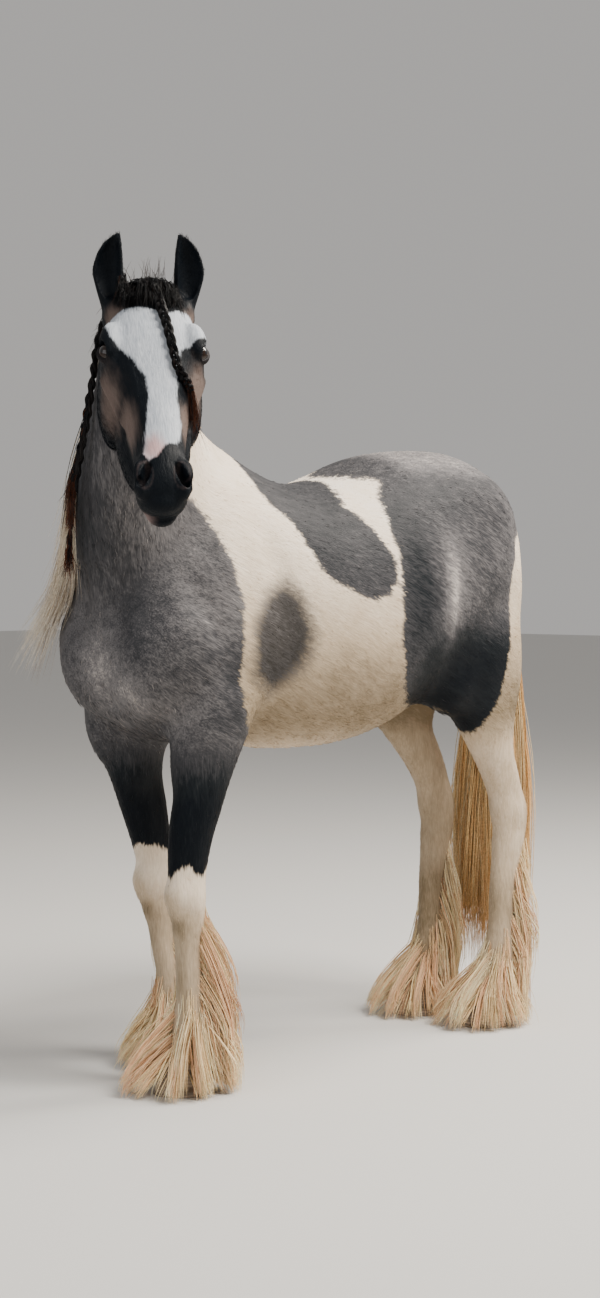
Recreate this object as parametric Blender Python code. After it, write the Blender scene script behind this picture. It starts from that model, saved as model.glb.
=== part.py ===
"""A gypsy vanner horse as a still, life-size model, with its neck raised and turned to its left.

The flesh is made of overlapping lofts and muscle masses, fused by a voxel remesh, smoothed
and parted with thin cuts. Locks of mane, forelock, tail and feather are rooted in the flesh
that they grow from. Metres, +Z up: the horse faces -Y and its left side is +X.
"""

import math
import random

import bmesh
import bpy
from mathutils import Matrix, Vector
from mathutils.bvhtree import BVHTree

GAP = 0.0003
CLEAR = 0.00027
WELD = 0.000002
TIP_HALF = 0.0008
BACK_LOCKS = 8
RING_LOCKS = 13
TAIL_LOCKS = 17
TAIL_X = -0.012
TAIL_Y = 0.828
MANE_LOCKS = 14
FORELOCK_LOCKS = 5
# Each braid of the mane: its place along the neck, its length, half its width, how far it swings out.
BRAIDS = ((0.86, 0.42, 0.013, 0.0), (0.74, 0.44, 0.013, 0.0), (0.58, 0.44, 0.012, 0.012))
# The plait down the face, in the head's own axes: along, to the left, off the skin.
PLAIT = (
    (-0.010, 0.006, 0.004),
    (0.060, 0.012, 0.012),
    (0.110, 0.022, 0.008),
    (0.160, 0.034, 0.008),
    (0.210, 0.046, 0.008),
    (0.260, 0.062, 0.010),
)
BIG = 3.0
HEAD_LINE_Y = -0.78
LEGS_TOP_Z = 0.62
WITHERS_Z = 1.515
BACK_Z = 1.42
CROUP_Z = 1.515
BELLY_Z = 0.758
BARREL_HALF_WIDTH = 0.30
CANNON_RADIUS = 0.031
HEAD_LENGTH = 0.58
HOOF_RADIUS = 0.066
HOOF_HEIGHT = 0.082
FLOOR_CLEARANCE = 0.006
FEATHER_TOP = 0.415
RING_LOCK_WIDTH = 0.021
BACK_LOCK_WIDTH = 0.017
FEATHER_LOCK_THICKNESS = 0.0065
TAIL_TOP = 1.30
TAIL_LOCK_THICKNESS = 0.010
MANE_LENGTH = 0.36
MANE_LOCK_THICKNESS = 0.008
BRAID_PITCH = 0.050
PLAIT_HALF_WIDTH = 0.0095
PLAIT_PITCH = 0.026

# Where each hoof stands on the floor, and where the knee or hock is above it.
HOOF_PLACES = {
    "front_left": Vector((0.128, -0.520, 0.0)),
    "front_right": Vector((-0.086, -0.340, 0.0)),
    "hind_left": Vector((0.150, 0.592, 0.0)),
    "hind_right": Vector((-0.090, 0.600, 0.0)),
}
JOINT_PLACES = {
    "front_left": Vector((0.130, -0.524, 0.450)),
    "front_right": Vector((-0.130, -0.372, 0.450)),
    "hind_left": Vector((0.150, 0.680, 0.560)),
    "hind_right": Vector((-0.100, 0.685, 0.560)),
}

# The head hangs from the poll, turned to the left and with its nose a little forward.
POLL = Vector((0.358, -0.858, 1.805))
HEAD_TURN = math.radians(50.5)
FACE_TILT = math.radians(41)
EYE = Vector((0.183, 0.091, -0.028))
EYE_RADIUS = 0.022
LID_THICKNESS = 0.004
SLIT_HALF_LENGTH = 0.0205
SLIT_HALF_HEIGHT = 0.0125
EAR_HEIGHT = 0.158
EAR_WIDTH = 0.034
MOUTH_LINE = -0.102

# The planes where the body is parted: at the base of the neck and across each leg.
NECK_BASE = Vector((0.0, -0.505, 1.300))
NECK_BASE_NORMAL = Vector((0.0, -0.838, 0.546))
FRONT_LEG_TOP = 0.778
FRONT_LEG_BACK = -0.275
KNEE_CUT = 0.530
HOCK_CUT = 0.665
HIND_LEG_FRONT = 0.270
HIND_LEG_TOP = 0.800
HIND_LEG_TILT = 22.0

# Steps of the voxel remesh and the triangles that are left, for the body and for the finer head.
BODY_STEP = 0.010
BODY_TRIANGLES = 3900
HEAD_STEP = 0.0055
HEAD_TRIANGLES = 2050

COLOURS = {
    "coat_grey": (0.16, 0.16, 0.18),
    "coat_cream": (0.72, 0.62, 0.50),
    "coat_black": (0.02, 0.02, 0.03),
    "hair_cream": (0.74, 0.58, 0.42),
    "horn": (0.32, 0.25, 0.19),
    "eye": (0.02, 0.015, 0.012),
}


def clear_scene():
    for obj in list(bpy.data.objects):
        bpy.data.objects.remove(obj)


def material(name, roughness):
    made = bpy.data.materials.get(name)
    if made is None:
        made = bpy.data.materials.new(name)
        made.use_nodes = True
        shader = made.node_tree.nodes["Principled BSDF"]
        shader.inputs["Base Color"].default_value = (*COLOURS[name], 1.0)
        shader.inputs["Roughness"].default_value = roughness
    return made


def new_object(name, bm):
    """An object from a bmesh, with its faces turned outwards."""
    bmesh.ops.recalc_face_normals(bm, faces=bm.faces)
    if bm.calc_volume(signed=True) < 0:
        bmesh.ops.reverse_faces(bm, faces=bm.faces)
    mesh = bpy.data.meshes.new(name)
    bm.to_mesh(mesh)
    bm.free()
    obj = bpy.data.objects.new(name, mesh)
    bpy.context.scene.collection.objects.link(obj)
    return obj


def smooth_step(value):
    value = min(1.0, max(0.0, value))
    return value * value * (3 - 2 * value)


def catmull(points, share):
    """A point at this share of a smooth curve through points of any number of values."""
    place = min(max(share, 0.0), 1.0) * (len(points) - 1)
    i = min(int(place), len(points) - 2)
    t = place - i
    a, b = points[max(i - 1, 0)], points[i]
    c, d = points[i + 1], points[min(i + 2, len(points) - 1)]
    return [
        0.5 * (2 * q + (r - p) * t + (2 * p - 5 * q + 4 * r - s) * t**2 + (3 * q - p - 3 * r + s) * t**3)
        for p, q, r, s in zip(a, b, c, d)
    ]


def refine(stations, steps):
    """Stations of a loft, made closer along a smooth curve through them."""
    count = (len(stations) - 1) * steps
    return [catmull(stations, i / count) for i in range(count + 1)]


def ring(centre, side, up, half_side, half_up, half_down, sides, top_power=1.0, low_power=1.0):
    """Points round one section. A power over 1 draws that half in to a ridge."""
    points = []
    for i in range(sides):
        angle = 2 * math.pi * i / sides
        c, s = math.cos(angle), math.sin(angle)
        power = top_power if s > 0 else low_power
        height = half_up if s > 0 else half_down
        points.append(
            centre
            + side * (half_side * math.copysign(abs(c) ** power, c))
            + up * (height * math.copysign(abs(s) ** (0.5 + 0.5 / power), s))
        )
    return points


def loft(name, rings):
    """One closed body through rings of equal count, with a face over each end."""
    bm = bmesh.new()
    loops = [[bm.verts.new(p) for p in points] for points in rings]
    count = len(loops[0])
    for low, high in zip(loops, loops[1:]):
        for i in range(count):
            j = (i + 1) % count
            bm.faces.new((low[i], low[j], high[j], high[i]))
    bm.faces.new(loops[0])
    bm.faces.new(loops[-1])
    return new_object(name, bm)


def ellipsoid(centre, radii, pitch=0.0, roll=0.0, yaw=0.0, frame=None):
    """A muscle or bone mass: pitch turns it about X, roll about Y, yaw about Z, in degrees."""
    turn = (
        Matrix.Rotation(math.radians(yaw), 4, "Z")
        @ Matrix.Rotation(math.radians(roll), 4, "Y")
        @ Matrix.Rotation(math.radians(pitch), 4, "X")
    )
    place = Matrix.Translation(centre) @ turn @ Matrix.Diagonal((*radii, 1.0))
    if frame is not None:
        place = frame @ place
    bm = bmesh.new()
    bmesh.ops.create_uvsphere(bm, u_segments=14, v_segments=10, radius=1.0, matrix=place)
    return new_object("mass", bm)


def tube(path, radii, sides=10):
    """A closed round loft along a path, each section square to it."""
    rings = []
    side = (path[1] - path[0]).orthogonal()
    for i, point in enumerate(path):
        along = (path[min(i + 1, len(path) - 1)] - path[max(i - 1, 0)]).normalized()
        side = (side - along * side.dot(along)).normalized()
        rings.append(ring(point, side, along.cross(side), radii[i], radii[i], radii[i], sides))
    return loft("tube", rings)


def joined(name, pieces):
    """One object that holds the meshes of all the pieces, which are then removed."""
    bm = bmesh.new()
    for piece in pieces:
        bm.from_mesh(piece.data)
        bpy.data.objects.remove(piece)
    mesh = bpy.data.meshes.new(name)
    bm.to_mesh(mesh)
    bm.free()
    obj = bpy.data.objects.new(name, mesh)
    bpy.context.scene.collection.objects.link(obj)
    return obj


def apply_modifiers(obj):
    graph = bpy.context.evaluated_depsgraph_get()
    mesh = bpy.data.meshes.new_from_object(obj.evaluated_get(graph))
    obj.modifiers.clear()
    obj.data = mesh


def fuse(obj, voxel, light, broad, triangles):
    """Makes overlapping pieces one skin of about that many triangles.

    Light smoothing takes all of it, the broad one only the trunk, thighs and shoulders.
    """
    remesh = obj.modifiers.new("fuse", "REMESH")
    remesh.mode = "VOXEL"
    remesh.voxel_size = voxel
    apply_modifiers(obj)
    trunk = obj.vertex_groups.new(name="trunk")
    for vertex in obj.data.vertices:
        x, y, z = vertex.co
        away = (y - HEAD_LINE_Y) / 0.10
        weight = smooth_step((z - LEGS_TOP_Z) / 0.16) * smooth_step(away)
        trunk.add([vertex.index], weight, "REPLACE")
    smooth = obj.modifiers.new("broad", "SMOOTH")
    smooth.factor = 0.5
    smooth.iterations = broad
    smooth.vertex_group = "trunk"
    smooth = obj.modifiers.new("light", "SMOOTH")
    smooth.factor = 0.5
    smooth.iterations = light
    apply_modifiers(obj)
    obj.vertex_groups.clear()
    faces = sum(len(p.vertices) - 2 for p in obj.data.polygons)
    thin = obj.modifiers.new("thin", "DECIMATE")
    thin.ratio = min(1.0, triangles / faces)
    apply_modifiers(obj)
    return obj


def closed(obj):
    """Whether a body has faces, and each of its edges has exactly two of them."""
    bm = bmesh.new()
    bm.from_mesh(obj.data)
    sound = len(bm.faces) > 3 and all(edge.is_manifold for edge in bm.edges)
    bm.free()
    return sound


def boolean(obj, other, operation, keep_other=False):
    """Applies one Boolean, by the second solver where the first one leaves the body open."""
    before = obj.data
    for solver in ("MANIFOLD", "EXACT"):
        obj.data = before.copy()
        cut = obj.modifiers.new("cut", "BOOLEAN")
        cut.operation = operation
        cut.object = other
        cut.solver = solver
        apply_modifiers(obj)
        if closed(obj):
            break
    if not keep_other:
        bpy.data.objects.remove(other)
    return obj


def copy_of(obj, name):
    made = obj.copy()
    made.data = obj.data.copy()
    made.name = name
    bpy.context.scene.collection.objects.link(made)
    return made


def grown(obj, by):
    """A copy that stands out from the body by that much, to cut its neighbours clear of it."""
    made = copy_of(obj, "grown")
    bm = bmesh.new()
    bm.from_mesh(made.data)
    bm.normal_update()
    moves = [(v, v.normal * by * min(2.0, v.calc_shell_factor())) for v in bm.verts]
    for vertex, move in moves:
        vertex.co += move
    bm.to_mesh(made.data)
    bm.free()
    return made


def surfaces(bm):
    """The faces of each separate surface of a mesh."""
    left = set(bm.faces)
    found = []
    while left:
        group = [left.pop()]
        for face in group:
            for edge in face.edges:
                for other in edge.link_faces:
                    if other in left:
                        left.remove(other)
                        group.append(other)
        found.append(group)
    return found


def largest_surface(obj):
    """Keeps the closed surface with the most faces, and joins points that all but touch."""
    for weld in (WELD, 0.0):
        bm = bmesh.new()
        bm.from_mesh(obj.data)
        if weld > 0.0:
            bmesh.ops.remove_doubles(bm, verts=bm.verts, dist=weld)
            bmesh.ops.dissolve_degenerate(bm, edges=bm.edges, dist=weld)
        keep = set(max(surfaces(bm), key=len, default=[]))
        bmesh.ops.delete(bm, geom=[f for f in bm.faces if f not in keep], context="FACES")
        bmesh.ops.delete(bm, geom=[v for v in bm.verts if not v.link_faces], context="VERTS")
        bmesh.ops.dissolve_verts(bm, verts=[v for v in bm.verts if len(v.link_edges) == 2])
        sound = all(edge.is_manifold for edge in bm.edges)
        if sound or weld == 0.0:
            bm.to_mesh(obj.data)
        bm.free()
        if sound:
            break
    return obj


def triangulated(obj):
    """Cuts every face into triangles, by the first method that leaves no edge shared by four."""
    for method in ("BEAUTY", "EAR_CLIP"):
        bm = bmesh.new()
        bm.from_mesh(obj.data)
        bmesh.ops.triangulate(bm, faces=bm.faces, quad_method="BEAUTY", ngon_method=method)
        sound = all(edge.is_manifold for edge in bm.edges)
        if sound or method == "EAR_CLIP":
            bm.to_mesh(obj.data)
        bm.free()
        if sound:
            break
    return obj


def block(name, low, high, tilt=0.0, pivot=None):
    """A box between two corners, tilted about X through the pivot by an angle in degrees."""
    low, high = Vector(low), Vector(high)
    pivot = (low + high) / 2 if pivot is None else Vector(pivot)
    lean = Matrix.Rotation(math.radians(tilt), 4, "X")
    turn = Matrix.Translation(pivot) @ lean @ Matrix.Translation(-pivot)
    size = high - low
    place = turn @ Matrix.Translation((low + high) / 2) @ Matrix.Diagonal((*size, 1.0))
    bm = bmesh.new()
    bmesh.ops.create_cube(bm, size=1.0, matrix=place)
    return new_object(name, bm)


def half_space(name, point, normal, offset):
    """A large box on the side of a plane that its normal points to, that far from the plane."""
    normal = Vector(normal).normalized()
    turn = normal.to_track_quat("Z", "Y").to_matrix().to_4x4()
    place = Matrix.Translation(Vector(point) + normal * (offset + BIG / 2)) @ turn
    bm = bmesh.new()
    bmesh.ops.create_cube(bm, size=BIG, matrix=place)
    return new_object(name, bm)


def torso_masses():
    """Barrel, chest, withers and croup, as sections along the body from the breast back."""
    # Each row: y, top, bottom, half width, height of the widest place, ridge power on top.
    stations = [
        (-0.670, 1.130, 0.950, 0.080, 1.045, 1.0),
        (-0.635, 1.230, 0.885, 0.150, 1.040, 1.0),
        (-0.570, 1.360, 0.830, 0.195, 1.040, 1.1),
        (-0.480, 1.450, 0.800, 0.212, 1.050, 1.3),
        (-0.390, WITHERS_Z - 0.005, 0.790, 0.222, 1.055, 1.5),
        (-0.320, WITHERS_Z, 0.784, 0.235, 1.060, 1.6),
        (-0.230, 1.466, 0.774, 0.262, 1.060, 1.4),
        (-0.130, 1.424, BELLY_Z + 0.004, 0.288, 1.065, 1.15),
        (-0.020, BACK_Z - 0.004, BELLY_Z, BARREL_HALF_WIDTH + 0.003, 1.070, 1.0),
        (0.100, 1.446, BELLY_Z + 0.006, BARREL_HALF_WIDTH + 0.008, 1.085, 0.95),
        (0.220, 1.490, 0.790, BARREL_HALF_WIDTH - 0.003, 1.110, 0.95),
        (0.320, 1.507, 0.835, 0.285, 1.150, 0.95),
        (0.420, CROUP_Z, 0.890, 0.272, 1.190, 0.95),
        (0.540, CROUP_Z - 0.003, 0.950, 0.252, 1.220, 0.95),
        (0.640, 1.478, 1.000, 0.215, 1.230, 1.0),
        (0.715, 1.400, 1.060, 0.160, 1.230, 1.0),
        (0.755, 1.320, 1.120, 0.095, 1.220, 1.0),
    ]
    left, up = Vector((1, 0, 0)), Vector((0, 0, 1))
    rings = [
        ring(Vector((0, y, wide)), left, up, half, top - wide, wide - low, 32, power)
        for y, top, low, half, wide, power in refine(stations, 3)
    ]
    pieces = [loft("barrel", rings)]
    for side in (-1, 1):
        pieces += [
            ellipsoid((side * 0.088, -0.600, 0.985), (0.088, 0.085, 0.135), pitch=15),
            ellipsoid((side * 0.135, -0.430, 1.200), (0.080, 0.115, 0.250), pitch=-24, roll=-side * 8),
            ellipsoid((side * 0.155, -0.530, 1.020), (0.072, 0.105, 0.130), pitch=35),
            ellipsoid((side * 0.172, -0.370, 1.030), (0.066, 0.150, 0.135), pitch=-25),
            ellipsoid((side * 0.110, 0.450, 1.290), (0.145, 0.260, 0.190), pitch=8),
            ellipsoid((side * 0.118, 0.590, 1.180), (0.104, 0.140, 0.230), pitch=8),
        ]
    return pieces


# Each row: a point on the crest, the point below it on the throat side, half the width.
NECK_STATIONS = [
    (0.000, -0.250, 1.460, 0.000, -0.580, 0.930, 0.170),
    (0.000, -0.340, 1.525, 0.000, -0.645, 1.040, 0.160),
    (0.020, -0.430, 1.580, 0.025, -0.690, 1.150, 0.142),
    (0.070, -0.528, 1.645, 0.086, -0.735, 1.260, 0.118),
    (0.150, -0.626, 1.712, 0.160, -0.783, 1.370, 0.100),
    (0.236, -0.716, 1.770, 0.228, -0.822, 1.475, 0.090),
    (0.304, -0.788, 1.800, 0.278, -0.850, 1.560, 0.085),
    (0.345, -0.833, 1.795, 0.335, -0.870, 1.625, 0.080),
]


def neck_section(share):
    """Middle, left, crest direction, tangent, half depth and half width at a share of the neck."""
    row = catmull(NECK_STATIONS, share)
    ahead = catmull(NECK_STATIONS, min(share + 0.02, 1.0))
    behind = catmull(NECK_STATIONS, max(share - 0.02, 0.0))
    crest, throat = Vector(row[:3]), Vector(row[3:6])
    along = (Vector(ahead[:3]) + Vector(ahead[3:6]) - Vector(behind[:3]) - Vector(behind[3:6])).normalized()
    up = (crest - throat).normalized()
    return (crest + throat) / 2, up.cross(along).normalized(), up, along, (crest - throat).length / 2, row[6]


def neck_masses():
    rings = []
    for i in range(24):
        middle, left, crest, _, high, half = neck_section(i / 23)
        rings.append(ring(middle, left, crest, half, high, high, 28, 1.35, 0.9))
    return [loft("neck_core", rings)]


def head_frame():
    """From the head's own axes, along the face, to the left and out of the face, to the world."""
    turn, tilt = HEAD_TURN, FACE_TILT
    along = Vector((math.sin(turn) * math.sin(tilt), -math.cos(turn) * math.sin(tilt), -math.cos(tilt)))
    out = Vector((math.sin(turn) * math.cos(tilt), -math.cos(turn) * math.cos(tilt), math.sin(tilt)))
    left = out.cross(along)
    frame = Matrix((along, left, out)).transposed().to_4x4()
    return Matrix.Translation(POLL) @ frame


def head_masses():
    """Skull, jaw, muzzle and lips, in the head's own axes, moved to the end of the neck."""
    frame = head_frame()
    # Each row: place along the face, face line, jaw line, half width, widest depth, powers.
    stations = [
        (-0.030, -0.045, -0.130, 0.038, -0.085, 1.0, 1.0),
        (-0.005, -0.014, -0.180, 0.070, -0.080, 0.9, 1.0),
        (0.045, 0.006, -0.225, 0.088, -0.075, 0.85, 1.0),
        (0.105, 0.015, -0.256, 0.103, -0.070, 0.80, 1.1),
        (0.170, 0.016, -0.272, 0.110, -0.068, 0.80, 1.2),
        (0.225, 0.009, -0.270, 0.105, -0.075, 0.85, 1.25),
        (0.280, 0.001, -0.240, 0.086, -0.072, 0.9, 1.25),
        (0.338, -0.003, -0.210, 0.068, -0.072, 0.9, 1.1),
        (0.395, -0.005, -0.177, 0.058, -0.072, 0.9, 1.0),
        (0.442, -0.006, -0.153, 0.053, -0.070, 0.9, 0.95),
        (0.490, -0.009, -0.142, 0.055, -0.069, 0.9, 0.95),
        (0.530, -0.018, -0.134, 0.055, -0.072, 0.9, 1.0),
        (0.558, -0.036, -0.126, 0.047, -0.078, 1.0, 1.0),
        (HEAD_LENGTH - 0.006, -0.060, -0.110, 0.028, -0.085, 1.0, 1.0),
    ]
    left, out = Vector((0, 1, 0)), Vector((0, 0, 1))
    rings = []
    for along, face, jaw, half, wide, top_power, low_power in refine(stations, 3):
        middle = Vector((along, 0, wide))
        points = ring(middle, left, out, half, face - wide, wide - jaw, 28, top_power, low_power)
        rings.append([frame @ p for p in points])
    pieces = [loft("skull", rings)]
    for side in (-1, 1):
        pieces += [
            ellipsoid((0.156, side * 0.087, -0.015), (0.052, 0.026, 0.026), frame=frame, yaw=side * 8),
            ellipsoid((0.192, side * 0.084, -0.042), (0.044, 0.020, 0.030), frame=frame),
            ellipsoid((0.190, side * 0.075, -0.160), (0.110, 0.036, 0.092), frame=frame),
            ellipsoid((0.345, side * 0.046, -0.150), (0.120, 0.030, 0.052), frame=frame, yaw=-side * 9),
            ellipsoid((0.280, side * 0.074, -0.075), (0.080, 0.013, 0.013), frame=frame, yaw=-side * 14),
            ellipsoid((0.515, side * 0.040, -0.052), (0.046, 0.024, 0.036), frame=frame, yaw=side * 8),
            ellipsoid((0.036, side * 0.072, -0.062), (0.046, 0.028, 0.046), frame=frame),
        ]
    pieces += [
        ellipsoid((0.552, 0.0, -0.070), (0.034, 0.050, 0.034), frame=frame),
        ellipsoid((0.542, 0.0, -0.116), (0.036, 0.040, 0.024), frame=frame),
        ellipsoid((0.505, 0.0, -0.130), (0.036, 0.034, 0.024), frame=frame),
    ]
    return pieces


def front_leg_stations(hoof, knee, side):
    """Middle of the section, then half width across and half length fore and aft."""
    elbow = Vector((side * 0.166, -0.440, 0.920))
    fetlock = hoof.lerp(knee, 0.36) + Vector((0, 0.014, 0))
    return [
        (elbow.x, elbow.y, 0.920, 0.070, 0.105),
        (side * 0.160, -0.446, 0.840, 0.066, 0.098),
        (knee.x * 0.4 + side * 0.094, knee.y * 0.4 - 0.268, 0.720, 0.056, 0.078),
        (knee.x * 0.8 + side * 0.033, knee.y * 0.8 - 0.090, 0.600, 0.048, 0.062),
        (knee.x + side * 0.002, knee.y + 0.004, 0.510, 0.043, 0.051),
        (knee.x, knee.y, 0.455, 0.047, 0.052),
        (knee.x, knee.y + 0.004, 0.410, 0.043, 0.047),
        (knee.x * 0.8 + hoof.x * 0.2, knee.y * 0.8 + hoof.y * 0.2 + 0.010, 0.350, CANNON_RADIUS, 0.040),
        (knee.x * 0.6 + hoof.x * 0.4, knee.y * 0.6 + hoof.y * 0.4 + 0.014, 0.270, CANNON_RADIUS, 0.038),
        (fetlock.x, fetlock.y + 0.002, 0.205, CANNON_RADIUS + 0.002, 0.041),
        (fetlock.x, fetlock.y + 0.003, 0.165, 0.041, 0.048),
        (hoof.x, hoof.y * 0.6 + fetlock.y * 0.4, 0.125, 0.037, 0.041),
        (hoof.x, hoof.y, 0.085, 0.047, 0.051),
        (hoof.x, hoof.y, 0.060, 0.044, 0.048),
    ]


def hind_leg_stations(hoof, hock, side):
    fetlock = hoof.lerp(hock, 0.32) + Vector((0, 0.016, 0))
    cannon = CANNON_RADIUS + 0.002
    return [
        (side * 0.150, 0.500, 1.080, 0.090, 0.170),
        (side * 0.155, 0.500, 0.960, 0.082, 0.150),
        (side * 0.150, 0.535, 0.850, 0.068, 0.115),
        (hock.x * 0.6 + side * 0.060, hock.y - 0.090, 0.740, 0.053, 0.078),
        (hock.x, hock.y - 0.032, 0.640, 0.043, 0.060),
        (hock.x, hock.y, 0.565, 0.043, 0.062),
        (hock.x, hock.y, 0.505, 0.044, 0.054),
        (hock.x * 0.9 + hoof.x * 0.1, hock.y - 0.010, 0.440, 0.038, 0.046),
        (hock.x * 0.6 + hoof.x * 0.4, hock.y * 0.7 + hoof.y * 0.3 - 0.002, 0.350, cannon, 0.041),
        (hock.x * 0.4 + hoof.x * 0.6, fetlock.y * 0.8 + hock.y * 0.2 + 0.002, 0.250, cannon, 0.041),
        (fetlock.x, fetlock.y + 0.004, 0.175, 0.043, 0.050),
        (fetlock.x, fetlock.y * 0.5 + hoof.y * 0.5, 0.130, 0.038, 0.042),
        (hoof.x, hoof.y + 0.002, 0.088, 0.047, 0.051),
        (hoof.x, hoof.y, 0.060, 0.045, 0.048),
    ]


def leg_stations(place):
    side = 1 if place.endswith("left") else -1
    build = front_leg_stations if place.startswith("front") else hind_leg_stations
    return build(HOOF_PLACES[place], JOINT_PLACES[place], side), side


def leg_masses(place):
    stations, side = leg_stations(place)
    across, fore = Vector((1, 0, 0)), Vector((0, 1, 0))
    rings = [
        ring(Vector((x, y, z)), across, fore, wide, length, length, 20)
        for x, y, z, wide, length in refine(stations, 3)
    ]
    pieces = [loft("leg", rings)]
    joint = JOINT_PLACES[place]
    if place.startswith("front"):
        pieces += [
            ellipsoid((side * 0.158, -0.470, 0.870), (0.068, 0.090, 0.140), pitch=-8),
            ellipsoid((side * 0.132, -0.452 - side * 0.028, 0.780), (0.062, 0.084, 0.140), pitch=-8),
            ellipsoid((joint.x, joint.y + 0.040, 0.445), (0.022, 0.020, 0.030)),
        ]
    else:
        pieces += [
            ellipsoid((side * 0.145, 0.400, 1.080), (0.105, 0.135, 0.240), pitch=-12),
            ellipsoid((side * 0.160, 0.400, 0.930), (0.072, 0.095, 0.120), pitch=25),
            ellipsoid((side * 0.135, 0.610, 1.000), (0.085, 0.105, 0.270), pitch=5),
            ellipsoid((side * 0.145, 0.610, 0.820), (0.055, 0.075, 0.150), pitch=14),
            ellipsoid((joint.x, joint.y + 0.018, 0.650), (0.018, 0.022, 0.120), pitch=12),
            ellipsoid((joint.x, joint.y + 0.046, 0.566), (0.021, 0.022, 0.038), pitch=8),
        ]
    return pieces


def fleshes():
    """The body, and apart from it the head on its neck at a finer step."""
    body = torso_masses() + neck_masses() + head_masses()
    for place in HOOF_PLACES:
        body += leg_masses(place)
    coarse = fuse(joined("flesh", body), BODY_STEP, 5, 60, BODY_TRIANGLES)
    fine = fuse(joined("head_flesh", neck_masses() + head_masses()), HEAD_STEP, 5, 12, HEAD_TRIANGLES)
    return coarse, fine


def head_plane():
    """The cut between head and neck: behind the ears and behind the corner of the jaw."""
    frame = head_frame()
    point = frame @ Vector((0.012, 0.0, -0.140))
    normal = frame.to_3x3() @ Vector((0.68, 0.0, 0.73))
    return point, normal


def leg_block(place, gap):
    """The space that one leg takes up, made smaller all round by the gap."""
    side = 1 if place.endswith("left") else -1
    near, far = sorted((side * gap, side * 0.5))
    if place.startswith("front"):
        return block("leg_space", (near, -0.90, -0.1), (far, FRONT_LEG_BACK - gap, FRONT_LEG_TOP - gap))
    pivot = (0.0, HIND_LEG_FRONT, HIND_LEG_TOP)
    low, high = (near, HIND_LEG_FRONT + gap - 0.4, -1.2), (far, 1.6, HIND_LEG_TOP - gap)
    tall = block("leg_space", low, high, HIND_LEG_TILT, pivot)
    front = block("front", (near - 0.01, HIND_LEG_FRONT + gap, -0.2), (far + 0.01, 1.5, 2.0))
    return boolean(tall, front, "INTERSECT")


def hoof_body(place):
    """A hoof: round wall, longer in front, flat on the floor."""
    middle = HOOF_PLACES[place]
    long = 1.0 if place.startswith("front") else 0.96
    across, fore = Vector((1, 0, 0)), Vector((0, 1, 0))
    rows = [
        (0.000, HOOF_RADIUS, 0.076, -0.006),
        (HOOF_HEIGHT * 0.6, 0.057, 0.064, 0.000),
        (HOOF_HEIGHT, 0.0500, 0.054, 0.003),
    ]
    rings = [
        ring(middle + Vector((0, back, z)), across, fore, wide * long, length * long, length * long, 16)
        for z, wide, length, back in rows
    ]
    return loft("hoof_" + place, rings)


def ear_frame(side):
    """From an ear's own axes, across it, out of its mouth and up, to the world."""
    head = head_frame()
    base = head @ Vector((0.020, side * 0.078, -0.050))
    face = Vector((math.sin(HEAD_TURN), -math.cos(HEAD_TURN), 0.0))
    outer = Vector((math.cos(HEAD_TURN), math.sin(HEAD_TURN), 0.0)) * side
    up = (Vector((0, 0, 1)) + face * 0.10 + outer * 0.04).normalized()
    mouth = (face + outer * 0.10).normalized()
    mouth = (mouth - up * mouth.dot(up)).normalized()
    inwards = -(outer - up * outer.dot(up) - mouth * outer.dot(mouth)).normalized()
    frame = Matrix((inwards, mouth, up)).transposed().to_4x4()
    return Matrix.Translation(base) @ frame


def ear_body(side):
    """An ear: a leaf-shaped cone, hollowed from its mouth, with its tip curved inwards."""
    frame = ear_frame(side)
    # Each row: height, half width, half depth, place across (inwards is plus), place forwards.
    outer = [
        (-0.035, 0.020, 0.020, 0.002, -0.004),
        (0.000, 0.023, 0.023, 0.000, -0.003),
        (0.040, 0.030, 0.026, -0.003, 0.000),
        (0.076, EAR_WIDTH, 0.025, -0.005, 0.002),
        (0.106, 0.030, 0.020, -0.002, 0.004),
        (0.132, 0.020, 0.013, 0.005, 0.007),
        (0.149, 0.010, 0.007, 0.012, 0.009),
        (EAR_HEIGHT, 0.003, 0.003, 0.019, 0.010),
    ]
    inner = [
        (0.020, 0.010, 0.010, -0.002, 0.016),
        (0.035, 0.018, 0.018, -0.003, 0.019),
        (0.066, 0.026, 0.024, -0.005, 0.021),
        (0.100, 0.025, 0.024, -0.003, 0.021),
        (0.126, 0.016, 0.016, 0.004, 0.018),
        (0.144, 0.007, 0.008, 0.010, 0.015),
    ]
    bodies = []
    for name, rows in (("ear", outer), ("cup", inner)):
        rings = []
        for high, wide, deep, inwards, forwards in rows:
            middle = Vector((inwards, forwards, high))
            points = ring(middle, Vector((1, 0, 0)), Vector((0, 1, 0)), wide, deep, deep, 10)
            rings.append([frame @ p for p in points])
        bodies.append(loft(name, rings))
    return boolean(bodies[0], bodies[1], "DIFFERENCE")


def eye_middle(side):
    return head_frame() @ Vector((EYE.x, side * EYE.y, EYE.z))


def eye_body(side):
    bm = bmesh.new()
    place = Matrix.Translation(eye_middle(side))
    bmesh.ops.create_uvsphere(bm, u_segments=12, v_segments=8, radius=EYE_RADIUS, matrix=place)
    return new_object("eye", bm)


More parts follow.
